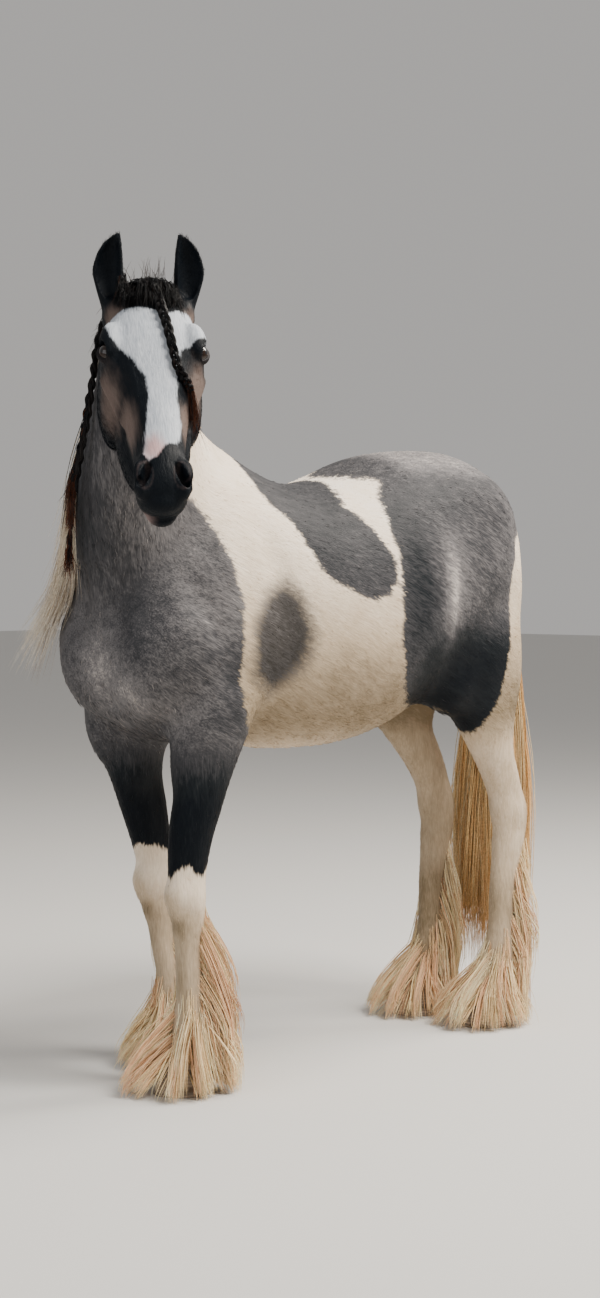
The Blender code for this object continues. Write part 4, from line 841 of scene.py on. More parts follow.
# Ridges and grooves of body and legs, in the body's axes, on the left side.
BODY_LINES = [
    (((0.030, -0.710, 1.190), (0.060, -0.670, 1.090), (0.100, -0.640, 0.990)), -0.0130, 0.024),
    (((0.000, -0.705, 1.060), (0.000, -0.680, 0.960), (0.000, -0.630, 0.890)), -0.0120, 0.016),
    (((0.075, -0.660, 0.990), (0.100, -0.620, 0.920), (0.095, -0.560, 0.860)), -0.0090, 0.016),
    (((0.185, -0.640, 1.300), (0.195, -0.560, 1.180), (0.200, -0.500, 1.060)), -0.0095, 0.028),
    (((0.230, -0.330, 1.300), (0.245, -0.300, 1.150), (0.235, -0.280, 1.000)), -0.0110, 0.038),
    (((0.215, -0.380, 1.060), (0.205, -0.300, 0.930)), -0.0100, 0.026),
    (((0.225, 0.300, 1.360), (0.260, 0.290, 1.220), (0.240, 0.270, 1.080)), 0.0050, 0.045),
    (((0.210, 0.640, 1.300), (0.190, 0.600, 1.120), (0.180, 0.590, 0.950)), -0.0095, 0.022),
    (((0.160, 0.450, 1.050), (0.200, 0.400, 0.960), (0.160, 0.340, 0.900)), -0.0110, 0.024),
    (((0.275, 0.262, 1.280), (0.290, 0.245, 1.160), (0.285, 0.250, 1.040)), -0.0040, 0.012),
    (((0.265, 0.300, 1.280), (0.285, 0.292, 1.160), (0.280, 0.296, 1.040)), -0.0035, 0.010),
]
# Caps, pits and folds at knees and hocks: height, place from the joint, reach.
JOINT_RELIEF = [
    (0.0070, (0, -0.046, 0.004), (0.028, 0.03, 0.024)),
    (-0.0050, (0, -0.040, -0.062), (0.034, 0.030, 0.008)),
    (-0.0030, (0, -0.040, -0.046), (0.030, 0.030, 0.005)),
]
for across in (-0.036, 0.036):
    JOINT_RELIEF += [
        (0.0030, (across, 0.0, 0.002), (0.016, 0.028, 0.024)),
        (-0.0045, (across, -0.022, 0.046), (0.016, 0.022, 0.022)),
        (-0.0045, (across, -0.022, -0.044), (0.016, 0.022, 0.020)),
    ]
THROAT_FOLDS = 5


def shaped(mesh):
    """Presses the finer forms of face, body and legs into the skin, drawn in by the coat's depth."""
    places, normals = rows_of(mesh.vertices, "co"), rows_of(mesh.vertex_normals, "vector")
    face = in_head(places)
    on_head, _, on_legs = parts(places)
    face[:, 1] = np.abs(face[:, 1])
    move = np.zeros(len(places))
    for line, depth, width in FACE_LINES:
        move += pressed(face, line, depth, width) * on_head
    mirrored = places.copy()
    mirrored[:, 0] = np.abs(mirrored[:, 0])
    for line, depth, width in BODY_LINES:
        move += pressed(mirrored, line, depth, width) * (1 - on_head)
    for place, joint in JOINT_PLACES.items():
        hoof = HOOF_PLACES[place]
        back = joint.y + (0.030 if place.startswith("front") else 0.020)
        for across in (-0.021, 0.021):
            low = (joint.x * 0.5 + hoof.x * 0.5 + across, back + 0.006, 0.24)
            tendon = ((joint.x + across, back, joint.z - 0.10), low)
            move += pressed(places, tendon, -0.0040, 0.0090) * on_legs
        for height, away, reach in JOINT_RELIEF:
            move += height * glow(places, joint + Vector(away), reach)
    for i in range(THROAT_FOLDS):
        back = -0.040 - 0.030 * i
        across = (-0.09, -0.04, 0.0, 0.04, 0.09)
        fold = [HEAD @ Vector((back, side, -0.17 + 0.05 * abs(side) / 0.09)) for side in across]
        move += pressed(places, fold, -0.0025, 0.008) * (1 - on_head)
    places += normals * (move - COAT_DEPTH)[:, None]
    mesh.vertices.foreach_set("co", places.astype(np.float32).ravel())
    mesh.update()


class Amount:
    """A number that varies over a surface, so that sums on it read as plain arithmetic."""

    def __init__(self, finish, socket):
        self.finish = finish
        self.socket = socket

    def worked(self, operation, first, second):
        return self.finish.node("ShaderNodeMath", {"operation": operation}, {0: first, 1: second})

    def __add__(self, other):
        return self.worked("ADD", self, other)

    def __radd__(self, other):
        return self.worked("ADD", other, self)

    def __sub__(self, other):
        return self.worked("SUBTRACT", self, other)

    def __rsub__(self, other):
        return self.worked("SUBTRACT", other, self)

    def __mul__(self, other):
        return self.worked("MULTIPLY", self, other)

    def __rmul__(self, other):
        return self.worked("MULTIPLY", other, self)


class Finish:
    """A material in the making, whose nodes are all added through one method."""

    def __init__(self, name):
        self.material = bpy.data.materials.new(name)
        self.material.use_nodes = True
        self.tree = self.material.node_tree
        self.shader = self.tree.nodes["Principled BSDF"]

    def node(self, kind, settings, values, out=0):
        """Adds a node, with its settings and with values or amounts at its inputs."""
        made = self.tree.nodes.new(kind)
        for name, value in settings.items():
            if name == "stops":
                ramp = made.color_ramp
                while len(ramp.elements) < len(value):
                    ramp.elements.new(0.5)
                for element, (at, colour) in zip(ramp.elements, value):
                    element.position = at
                    element.color = (*colour, 1.0)
            else:
                setattr(made, name, value)
        self.fill(made, values)
        return Amount(self, made.outputs[out])

    def fill(self, node, values):
        for slot, value in values.items():
            if isinstance(value, Amount):
                self.tree.links.new(value.socket, node.inputs[slot])
            else:
                node.inputs[slot].default_value = value

    def attribute(self, name, out="Fac"):
        return self.node("ShaderNodeAttribute", {"attribute_name": name}, {}, out)

    def place(self):
        return self.node("ShaderNodeTexCoord", {}, {}, "Object")

    def noise(self, place, scale, detail=2.0, roughness=0.5):
        values = {"Vector": place, "Scale": scale, "Detail": detail, "Roughness": roughness}
        return self.node("ShaderNodeTexNoise", {}, values, "Fac")

    def rise(self, value, low, high, to_low=0.0, to_high=1.0):
        """A smooth rise between two levels as the value goes from low to high."""
        values = {"Value": value, "From Min": low, "From Max": high, "To Min": to_low, "To Max": to_high}
        return self.node("ShaderNodeMapRange", {"interpolation_type": "SMOOTHSTEP"}, values)

    def ramp(self, value, stops):
        return self.node("ShaderNodeValToRGB", {"stops": stops}, {"Fac": value}, "Color")

    def mixed(self, share, first, second):
        colours = {0: share, 6: first, 7: second}
        for slot in (6, 7):
            if isinstance(colours[slot], tuple):
                colours[slot] = (*colours[slot], 1.0)
        return self.node("ShaderNodeMix", {"data_type": "RGBA"}, colours, 2)

    def along(self, way, across, length):
        """Places drawn out along the lie of the hair: one unit is that wide and that long."""
        up = Vector(way).normalized()
        side = up.orthogonal().normalized()
        turn = Matrix((side, up, side.cross(up))).transposed().to_euler()
        values = {"Vector": self.place(), "Rotation": turn, "Scale": (across, length, across)}
        return self.node("ShaderNodeMapping", {"vector_type": "TEXTURE"}, values, "Vector")

    def finished(self, values, bump=None, height=0.001, strength=0.5):
        if bump is not None:
            relief = {"Height": bump, "Distance": height, "Strength": strength}
            values = {**values, "Normal": self.node("ShaderNodeBump", {}, relief, "Normal")}
        self.fill(self.shader, values)
        return self.material


def hide_finish():
    """Short hair: streaks along its lie, roan with light hairs in it, and bare skin at the lips."""
    hide = Finish("short_coat")
    head, neck, legs = hide.attribute("on_head"), hide.attribute("on_neck"), hide.attribute("on_legs")
    trunk = 1 - head - neck - legs
    face_way = HEAD.to_3x3() @ Vector((1, 0, 0))
    ways = ((trunk, (0, 1, -0.45)), (neck, (-0.25, 0.40, -0.88)), (head, face_way), (legs, (0, 0.05, -1)))
    fine = sum(w * hide.noise(hide.along(way, 0.0034, 0.026), 1.0, 2.0, 0.6) for w, way in ways)
    broad = sum(w * hide.noise(hide.along(way, 0.016, 0.075), 1.0, 2.0, 0.55) for w, way in ways)
    cloud = hide.noise(hide.place(), 9.0, 3.0)
    jag = (fine - 0.5) * 0.030 + (broad - 0.5) * 0.030
    grey = hide.rise(hide.attribute("patches") + jag, -0.006, 0.009)
    smudge = hide.rise(hide.attribute("smudge") + jag * 0.9, -0.030, 0.032, 0.0, 0.95)
    grey = grey + smudge - grey * smudge
    streaks = (fine - 0.5) * 0.56 + (broad - 0.5) * 0.34 + (cloud - 0.5) * 0.16
    tone = hide.attribute("tone") + streaks * (1 - head) + (fine - 0.5) * 0.20 * head
    roan = hide.ramp(tone, ROAN)
    roan = hide.mixed(hide.rise(hide.attribute("bay") + (broad - 0.5) * 0.5, 0.15, 0.9), roan, BAY)
    tan = hide.attribute("tan") + (fine - 0.5) * 0.30 + (broad - 0.5) * 0.22 + (cloud - 0.5) * 0.30
    colour = hide.mixed(grey, hide.ramp(tan, CREAM), roan)
    white = hide.rise(hide.attribute("blaze") + jag * 0.30, -0.0035, 0.0045)
    blaze = hide.ramp(0.5 + (fine - 0.5) * 0.8 + (broad - 0.5) * 0.5, SHADED_BLAZE_TONES)
    pink = hide.rise(hide.attribute("pink") + (broad - 0.5) * 0.7, 0.15, 1.05, 0.0, 0.85)
    bare = hide.rise(hide.attribute("bare") + (broad - 0.5) * 0.4, 0.10, 1.0, 0.0, 0.70)
    colour = hide.mixed(white, hide.mixed(bare, colour, BARE_SKIN), hide.mixed(pink, blaze, MUZZLE_PINK))
    rough = hide.rise(fine, 0.2, 0.8, 0.48, 0.68)
    values = {"Base Color": colour, "Roughness": rough, "Specular IOR Level": 0.10}
    return hide.finished(values, fine + broad * 1.6, 0.0022, 0.55)


shaped(skin.data)
hide_places = rows_of(skin.data.vertices, "co")
for name, amounts in markings(hide_places).items():
    put_values(skin.data, name, "FLOAT", "value", amounts)
hide_faces = [tuple(face.vertices) for face in skin.data.polygons]
hide_tree = BVHTree.FromPolygons([v.co.copy() for v in skin.data.vertices], hide_faces)
skin.data.materials.append(hide_finish())
skin.data.shade_smooth()


def stood(obj):
    """Moves a finished piece from the body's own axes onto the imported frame."""
    obj.data.transform(Matrix.Translation(STAND))
    return obj


stood(skin)
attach(skin, "root")
flesh_words = ("head", "neck", "torso", "upper", "lower", "ear")
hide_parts(*[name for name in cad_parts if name.split("_")[0] in flesh_words])


# The eyes: a wet brown ball in each socket with an oval pupil that lies along the lids, held
# by an upper and a lower lid, which are rolls of bare dark skin with folds behind them.
def eyeball(side):
    """A ball that bulges at its front, with its own axes stored for the finish."""
    axes = eye_axes(side)
    bm = bmesh.new()
    bmesh.ops.create_uvsphere(bm, u_segments=64, v_segments=40, radius=EYE_RADIUS - 0.0002)
    for v in bm.verts:
        if v.co.z > 0.0:
            v.co *= 1 + 0.03 * soft((v.co.z / EYE_RADIUS - 0.75) / 0.2)
    places = np.array([v.co for v in bm.verts])
    bmesh.ops.transform(bm, matrix=axes, verts=bm.verts)
    ball = from_bmesh("eyeball_" + ("left" if side > 0 else "right"), bm)
    for name, amounts in zip(("eye_along", "eye_across", "eye_out"), places.T):
        put_values(ball.data, name, "FLOAT", "value", amounts)
    ball.data.shade_smooth()
    return ball


def eye_finish():
    """Brown iris with fine rays, a pupil that lies along the lids, and a dark white round them."""
    eye = Finish("wet_eye")
    along, across, out = eye.attribute("eye_along"), eye.attribute("eye_across"), eye.attribute("eye_out")
    front = eye.rise(out, 0.0, 0.004)
    iris = eye.rise(along * along + across * across, 0.000270, 0.000350, 1.0, 0.0) * front
    oval = along * along * 0.32 + across * across * 1.6
    pupil = eye.rise(oval, 0.0000200, 0.0000300, 1.0, 0.0) * front
    rays = eye.noise(eye.place(), 900.0, 3.0)
    white = eye.mixed(rays, (0.012, 0.009, 0.008), (0.060, 0.048, 0.042))
    brown = eye.mixed(rays, (0.006, 0.003, 0.002), (0.024, 0.010, 0.005))
    colour = eye.mixed(pupil, eye.mixed(iris, white, brown), (0.004, 0.004, 0.006))
    return eye.finished({
        "Base Color": colour, "Roughness": 0.10, "Specular IOR Level": 0.2,
        "Coat Weight": 0.45, "Coat Roughness": 0.03,
    })


LID_ROWS = (
    # Each row: how far out from the slit, as an angle, and how far from the ball's middle.
    (-0.030, 0.0219),
    (0.000, 0.0230),
    (0.045, 0.0252),
    (0.110, 0.0268),
    (0.190, 0.0266),
    (0.250, 0.0258),
    (0.320, 0.0268),
    (0.390, 0.0266),
    (0.440, 0.0257),
    (0.510, 0.0263),
    (0.620, 0.0252),
    (0.760, 0.0232),
)


def lids(side):
    """The rolled edges of both lids with two folds round them, from the ball to under the hide."""
    axes = eye_axes(side)
    around = 96
    rings = []
    for spread, far in LID_ROWS:
        points = []
        for i in range(around):
            angle = 2 * math.pi * i / around
            x, y = lid_edge(angle)
            reach = math.hypot(x, y)
            lean = math.asin(min(0.97, reach / (EYE_RADIUS + 0.0006))) + spread
            upper = 1.0 if side * y < 0 else 0.6
            crease = (far - 0.0262) * upper + 0.0262 if spread > 0.2 else far
            way = Vector((math.sin(lean) * x / reach, math.sin(lean) * y / reach, math.cos(lean)))
            points.append(axes @ (way * crease))
        rings.append(points)
    bm = bmesh.new()
    loops = [[bm.verts.new(p) for p in points] for points in rings]
    for points, size in ((rings[-1], 0.86), (rings[0], 0.97)):
        loops.append([bm.verts.new(axes @ (axes.inverted() @ Vector(p) * size)) for p in points])
    for low, high in zip(loops, loops[1:] + loops[:1]):
        bridged(bm, low, high)
    piece = from_bmesh("lids_" + ("left" if side > 0 else "right"), bm)
    piece.data.shade_smooth()
    return piece


def lid_finish():
    """Bare black skin with fine folds."""
    lid = Finish("lid_skin")
    grain = lid.noise(lid.place(), 700.0, 3.0)
    folds = lid.noise(lid.place(), 160.0, 2.0)
    colour = lid.mixed(lid.rise(grain + folds * 0.5, 0.4, 1.1), (0.003, 0.003, 0.004), (0.026, 0.022, 0.024))
    rough = lid.rise(grain, 0.2, 0.8, 0.40, 0.60)
    values = {"Base Color": colour, "Roughness": rough, "Specular IOR Level": 0.06}
    return lid.finished(values, grain + folds, 0.0006, 0.6)


eye_material, lid_material = eye_finish(), lid_finish()
for side, word in ((1, "left"), (-1, "right")):
    ball = stood(eyeball(side))
    ball.data.materials.append(eye_material)
    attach(ball, "root")
    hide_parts("eye_" + word)
    rims = stood(lids(side))
    rims.data.materials.append(lid_material)
    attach(rims, "root")
    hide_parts("head")


# The hooves: four horn capsules, longer at the toe, with fine growth rings that follow the
# coronet, a bevelled ground edge, and the wear and dirt of grass on the wall.
HOOF_RADIUS = 0.066
HOOF_HEIGHT = 0.082


def hoof(place):
    """A capsule of rows from the ground to the coronet, with growth rings on its wall."""
    middle = HOOF_PLACES[place]
    long = 1.0 if place.startswith("front") else 0.96
    across, fore = Vector((1, 0, 0)), Vector((0, 1, 0))
    # Each row: height, half width, half length, place back.
    rows = [
        (0.0000, HOOF_RADIUS - 0.003, 0.0730, -0.006),
        (0.0025, HOOF_RADIUS, 0.0760, -0.006),
        (HOOF_HEIGHT * 0.3, 0.0615, 0.0700, -0.003),
        (HOOF_HEIGHT * 0.6, 0.0570, 0.0640, 0.000),
        (HOOF_HEIGHT * 0.9, 0.0515, 0.0560, 0.002),
        (HOOF_HEIGHT + 0.004, 0.0480, 0.0520, 0.003),
    ]
    rings = []
    for z, wide, length, back in refined(rows, 10):
        growth = 0.0005 * math.sin(z * 2 * math.pi / 0.0075)
        centre = middle + Vector((0, back, max(z, 0.0)))
        half, reach = (wide + growth) * long, (length + growth) * long
        rings.append(section(centre, across, fore, half, reach, reach, 56))
    return loft("horn_" + place, rings)


def horn_finish():
    """Pale horn with growth rings, a fine upright grain and patches of dirt."""
    horn = Finish("hoof_horn")
    waves = {"Vector": horn.place(), "Scale": 42.0, "Distortion": 1.2, "Detail": 2.0}
    ring_wave = horn.node("ShaderNodeTexWave", {"bands_direction": "Z"}, waves, "Fac")
    grain = horn.noise(horn.along((0, 0, 1), 0.0012, 0.030), 1.0, 2.0)
    dirt = horn.noise(horn.place(), 34.0, 4.0)
    colour = horn.mixed(ring_wave * 0.5 + grain * 0.5, (0.22, 0.17, 0.13), (0.46, 0.38, 0.30))
    colour = horn.mixed(horn.rise(dirt, 0.45, 0.70), colour, (0.11, 0.08, 0.055))
    values = {"Base Color": colour, "Roughness": horn.rise(dirt, 0.3, 0.7, 0.42, 0.75)}
    return horn.finished(values, ring_wave + grain * 0.5, 0.0008, 0.6)


horn_material = horn_finish()
for place in HOOF_PLACES:
    wall = stood(hoof(place))
    wall.data.shade_smooth()
    wall.data.materials.append(horn_material)
    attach(wall, "root")
    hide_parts("hoof_" + place)


# The short coat where it breaks the form: small pointed tufts that lie along the body, longest
# under the jaw, on the belly and at the elbows, and smallest on the face and on the ears.
HAIR_SIDES = 3
PATCH = 0.003


def hair_tree():
    """Turns drawn lines into thin pointed tubes, each with its patch of the coat's map."""
    tree = bpy.data.node_groups.new("tubes_along_hairs", "GeometryNodeTree")
    for name, kind in (("Lines", "Geometry"), ("Sides", "Int"), ("Patch", "Float"), ("Finish", "Material")):
        tree.interface.new_socket(name, in_out="INPUT", socket_type="NodeSocket" + kind)
    tree.interface.new_socket("Hairs", in_out="OUTPUT", socket_type="NodeSocketGeometry")

    def added(kind, inputs, **settings):
        """Adds a node with values or links at its inputs, and gives its outputs."""
        node = tree.nodes.new(kind)
        for name, value in settings.items():
            setattr(node, name, value)
        for slot, value in inputs.items():
            if isinstance(value, bpy.types.NodeSocket):
                tree.links.new(value, node.inputs[slot])
            else:
                node.inputs[slot].default_value = value
        return node.outputs

    def stored(geometry, name, value, kind="FLOAT", domain="POINT"):
        inputs = {"Geometry": geometry, "Name": name, "Value": value}
        return added("GeometryNodeStoreNamedAttribute", inputs, data_type=kind, domain=domain)["Geometry"]

    def read(name, kind="FLOAT"):
        return added("GeometryNodeInputNamedAttribute", {"Name": name}, data_type=kind)["Attribute"]

    given = added("NodeGroupInput", {})
    curves = added("GeometryNodeMeshToCurve", {"Mesh": given["Lines"]})["Curve"]
    curves = stored(curves, "span", added("GeometryNodeSplineParameter", {})["Factor"])
    circle = added("GeometryNodeCurvePrimitiveCircle", {"Resolution": given["Sides"], "Radius": 1.0})["Curve"]
    circle = stored(circle, "turn", added("GeometryNodeSplineParameter", {})["Factor"])
    inputs = {"Curve": curves, "Profile Curve": circle, "Scale": read("thick"), "Fill Caps": True}
    tubes = added("GeometryNodeCurveToMesh", inputs)["Mesh"]
    within = added("ShaderNodeCombineXYZ", {"X": read("turn"), "Y": read("span")})[0]
    within = added("ShaderNodeVectorMath", {0: within, "Scale": given["Patch"]}, operation="SCALE")[0]
    spot = added("ShaderNodeVectorMath", {0: read("root", "FLOAT_VECTOR"), 1: within})[0]
    tubes = stored(tubes, "OFBake", spot, "FLOAT2", "CORNER")
    tubes = added("GeometryNodeRealizeInstances", {"Geometry": tubes})["Geometry"]
    tubes = added("GeometryNodeSetMaterial", {"Geometry": tubes, "Material": given["Finish"]})["Geometry"]
    added("NodeGroupOutput", {"Hairs": tubes})
    return tree


def grown_hair(name, strands, thick, tones, roots, finish):
    """A piece of hair from strands of points, thickness and colour at each, and each root's map place."""
    count, steps, _ = strands.shape
    mesh = bpy.data.meshes.new(name)
    mesh.vertices.add(count * steps)
    places = strands.copy()
    places[:, :, 2] = np.maximum(places[:, :, 2], 0.0015)
    mesh.vertices.foreach_set("co", places.astype(np.float32).ravel())
    starts = (np.arange(count)[:, None] * steps + np.arange(steps - 1)[None, :]).ravel()
    mesh.edges.add(len(starts))
    mesh.edges.foreach_set("vertices", np.stack([starts, starts + 1], 1).astype(np.int32).ravel())
    whole = np.concatenate([np.clip(tones, 0, 1), np.ones((count, steps, 1))], 2)
    at = np.concatenate([np.clip(roots, 0, 1 - PATCH), np.zeros((count, 1))], 1)
    put_values(mesh, "thick", "FLOAT", "value", thick)
    put_values(mesh, "hair_colour", "FLOAT_COLOR", "color", whole)
    put_values(mesh, "root", "FLOAT_VECTOR", "vector", np.repeat(at[:, None], steps, 1))
    mesh.update()
    lines = linked(name + "_lines", mesh)
    grow = lines.modifiers.new("grow", "NODES")
    grow.node_group = HAIR_TREE
    sockets = {item.name: item.identifier for item in HAIR_TREE.interface.items_tree}
    grow[sockets["Sides"]] = HAIR_SIDES
    grow[sockets["Patch"]] = PATCH
    grow[sockets["Finish"]] = finish
    graph = bpy.context.evaluated_depsgraph_get()
    hairs = bpy.data.meshes.new_from_object(lines.evaluated_get(graph))
    bpy.data.objects.remove(lines)
    piece = linked(name, hairs)
    hairs.name = name
    if not hairs.materials:
        hairs.materials.append(finish)
    hairs.shade_smooth()
    return stood(piece)


def hair_finish(name, rough, shade):
    """Hair: its own colour on each strand, with fine light and dark lengths and a soft gloss."""
    hair = Finish(name)
    own = hair.attribute("hair_colour", "Color")
    length = hair.noise(hair.place(), 200.0, 2.0)
    values = {0: 1.0, 6: own, 7: (shade, shade * 0.97, shade * 0.94, 1.0)}
    dark = hair.node("ShaderNodeMix", {"data_type": "RGBA", "blend_type": "MULTIPLY"}, values, 2)
    colour = hair.mixed(hair.rise(length, 0.35, 0.62), dark, own)
    return hair.finished({"Base Color": colour, "Roughness": rough, "Specular IOR Level": 0.14})


def unit(rows):
    """Each row at the length of one."""
    return rows / np.maximum(np.linalg.norm(rows, axis=-1, keepdims=True), 1e-9)


def lie_of_coat(points, normals):
    """The way the short hair lies at each point, along the surface."""
    on_head, on_neck, on_legs = parts(points)
    trunk = np.tile(np.array((0.0, 1.0, -0.45)), (len(points), 1))
    breast = soft((-0.52 - points[:, 1]) / 0.08)[:, None]
    trunk = trunk * (1 - breast) + np.array((0.0, 0.2, -1.0)) * breast
    down = np.array((0.0, 0.15, -1.0))
    neck = np.array((-0.25, 0.40, -0.88))
    face = np.array(HEAD.to_3x3() @ Vector((1.0, 0.0, -0.15)))
    way = (
        trunk * (1 - on_head - on_neck - on_legs)[:, None]
        + neck * on_neck[:, None] + face * on_head[:, None] + down * on_legs[:, None]
    )
    ears = soft((in_head(points)[:, 0] * -1 - 0.03) / 0.03)[:, None] * (on_head > 0.5)[:, None]
    way = way * (1 - ears) + np.array((0.0, 0.0, 1.0)) * ears
    way = way - normals * (way * normals).sum(axis=1, keepdims=True)
    return unit(way)


def map_place(points):
    """Each root's place on the hide laid out flat: head, neck, trunk and legs, cut along one line."""
    on_head, on_neck, on_legs = parts(points)
    face = in_head(points)
    x, y, z = points.T

    def chart(left, low, wide, high, aside, ahead, share):
        turn = np.arctan2(aside, ahead) / (2 * math.pi) + 0.5
        return np.stack([left + wide * turn, low + high * np.clip(share, 0, 1)], 1)

    spot = chart(0.01, 0.02, 0.46, 0.46, x, z - 1.10, (y + 0.75) / 1.55)
    neck = chart(0.51, 0.02, 0.46, 0.46, x - 0.16 - 0.35 * (z - 1.4), -(y + 0.62), (z - 0.9) / 0.95)
    head = chart(0.01, 0.75, 0.96, 0.24, face[:, 1], face[:, 2] + 0.09, (face[:, 0] + 0.16) / 0.76)
    legs = np.zeros_like(spot)
    for i, middle in enumerate(HOOF_PLACES.values()):
        mine = ((x > 0) == (middle.x > 0)) & ((y < 0.1) == (middle.y < 0.1))
        leg = chart(0.01 + 0.245 * i, 0.51, 0.22, 0.22, x - middle.x, y - middle.y, z / 0.9)
        legs = np.where(mine[:, None], leg, legs)
    for share, area in ((on_neck, neck), (on_legs, legs), (on_head, head)):
        spot = np.where((share > 0.5)[:, None], area, spot)
    return spot


def scattered(mesh, count, weight_of, rng):
    """Points spread over the hide, with their normals, more where the weight is greater."""
    mesh.calc_loop_triangles()
    corners = np.empty(len(mesh.loop_triangles) * 3, np.int32)
    mesh.loop_triangles.foreach_get("vertices", corners)
    corners = corners.reshape(-1, 3)
    places, normals = hide_places, rows_of(mesh.vertex_normals, "vector")
    a, b, c = (places[corners[:, i]] for i in range(3))
    size = np.linalg.norm(np.cross(b - a, c - a), axis=1)
    chance = size * weight_of((a + b + c) / 3, unit(np.cross(b - a, c - a)))
    picked = rng.choice(len(corners), count, p=chance / chance.sum())
    u, v = rng.random((2, count))
    over = u + v > 1
    u, v = np.where(over, 1 - u, u)[:, None], np.where(over, 1 - v, v)[:, None]
    point = a[picked] + (b[picked] - a[picked]) * u + (c[picked] - a[picked]) * v
    na, nb, nc = (normals[corners[picked, i]] for i in range(3))
    return point, unit(na + (nb - na) * u + (nc - na) * v)


def short_tufts(name, count, weight_of, length_of, lift, thick, seed, finish):
    """Tufts of three points each, rooted under the hide and lying back along it."""
    rng = np.random.default_rng(seed)
    point, normal = scattered(skin.data, count, weight_of, rng)
    lie = unit(lie_of_coat(point, normal) + rng.normal(0, 0.16, (count, 3)))
    lie = unit(lie - normal * (lie * normal).sum(axis=1, keepdims=True))
    length = (length_of(point, normal) * rng.uniform(0.7, 1.25, count))[:, None]
    rise = lift * rng.uniform(0.6, 1.4, (count, 1)) * length
    strands = np.stack([
        point - normal * 0.0010,
        point + lie * length * 0.45 + normal * rise,
        point + lie * length + normal * rise * 1.1,
    ], 1)
    wide = (thick * np.clip(length[:, 0] / 0.014, 0.55, 1.6))[:, None] * np.array((0.9, 1.0, 0.10))
    colour = coat_colour(point, rng)
    shades = np.array((1.0, 1.06, 1.12))[None, :, None]
    return grown_hair(name, strands, wide, colour[:, None] * shades, map_place(point), finish)


HAIR_TREE = hair_tree()
coat_hair = hair_finish("coat_tufts", 0.60, 0.92)


def body_weight(points, normals):
    """Thick where the coat shows against the light: underneath, behind and along the legs."""
    on_head, on_neck, on_legs = parts(points)
    under = soft(-normals[:, 2] / 0.8)
    behind = soft((points[:, 1] - 0.45) / 0.2)
    return (1.0 + 1.8 * under + 0.6 * behind + 1.4 * on_legs + 0.5 * on_neck) * (1 - on_head)


def body_length(points, normals):
    """Longest underneath and at the elbows, shortest on the legs."""
    on_legs = parts(points)[2]
    under = soft(-normals[:, 2] / 0.8)
    elbow = glow(points * np.array((0.0, 1.0, 1.0)), (0.0, -0.33, 0.84), (1.0, 0.07, 0.08))
    return 0.013 + 0.008 * under + 0.010 * elbow - 0.003 * on_legs


def jaw_and_ears(points):
    """How much each point of the head belongs to the underside of the jaw, and to the ears."""
    along, _, out = in_head(points).T
    return soft((-0.10 - out) / 0.08), soft((-along - 0.02) / 0.03)


def head_weight(points, normals):
    """Thickest on the ears, then along the jaw."""
    jaw, ears = jaw_and_ears(points)
    return parts(points)[0] * (0.8 + 1.6 * jaw + 5.0 * ears)


def head_length(points, normals):
    """Longest under the jaw, shortest on the muzzle."""
    jaw, ears = jaw_and_ears(points)
    muzzle = soft((in_head(points)[:, 0] - 0.40) / 0.08)
    return 0.0075 + 0.010 * jaw * (1 - muzzle) - 0.003 * muzzle + 0.003 * ears


for tufts in (
    short_tufts("coat_of_body", 13800, body_weight, body_length, 0.050, 0.00045, 3, coat_hair),
    short_tufts("coat_of_head", 9100, head_weight, head_length, 0.045, 0.00032, 4, coat_hair),
):
    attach(tufts, "root")


# The feather: long silky hair from the back of each cannon and from all round the fetlock,
# which parts into locks, falls over the hoof and spreads on its way to the ground.
FEATHER_TONES = np.array((
    (0.98, 0.78, 0.47), (0.97, 0.65, 0.37), (0.86, 0.51, 0.31), (0.42, 0.22, 0.12), (0.98, 0.88, 0.62),
))


def bundled(rng, guides, each, reach, gather, frizz, steps):
    """Hairs round each guide: bundles that draw together towards their tips, of uneven length."""
    count, rows, _ = guides.shape
    share = np.linspace(0, 1, steps)[None, None, :] * rng.uniform(0.80, 1.0, (count, each, 1))
    place = share * (rows - 1)
    low = np.minimum(place.astype(int), rows - 2)
    part = (place - low)[..., None]
    own = np.arange(count)[:, None, None]
    hairs = guides[own, low] * (1 - part) + guides[own, low + 1] * part
    offset = rng.normal(size=(count, each, 1, 3)) * reach
    close = 1 - gather * share[..., None] ** 1.3
    bend = rng.normal(size=(count, each, 1, 3)) * frizz * share[..., None] ** 2
    wave = rng.normal(size=(count, each, 1, 3)) * frizz * 0.35 * np.sin(
        share[..., None] * rng.uniform(5, 11, (count, each, 1, 1)) + rng.uniform(0, 6, (count, each, 1, 1))
    )
    hairs = hairs + offset * close + bend + wave * share[..., None]
    return hairs.reshape(count * each, steps, 3)


def strand_colours(rng, palette, guides, each, steps, chance, root_dark, tip_light):
    """One tone for each lock, a little of its own for each hair, and a change from root to tip."""
    lock = palette[rng.choice(len(palette), guides, p=chance)]
    own = palette[rng.choice(len(palette), (guides, each), p=chance)]
    colour = lock[:, None] * 0.6 + own * 0.4
    colour = colour * rng.uniform(0.82, 1.12, (guides, each, 1))
    fade = root_dark + (tip_light - root_dark) * np.linspace(0, 1, steps)
    return (colour[:, :, None] * fade[None, None, :, None]).reshape(guides * each, steps, 3)


def tapered(count, steps, thick, rng):
    """The thickness along each hair, which ends in a point."""
    shape = np.interp(np.linspace(0, 1, steps), (0, 0.25, 0.7, 1.0), (0.85, 1.0, 0.75, 0.12))
    return thick * shape[None] * rng.uniform(0.75, 1.2, (count, 1))


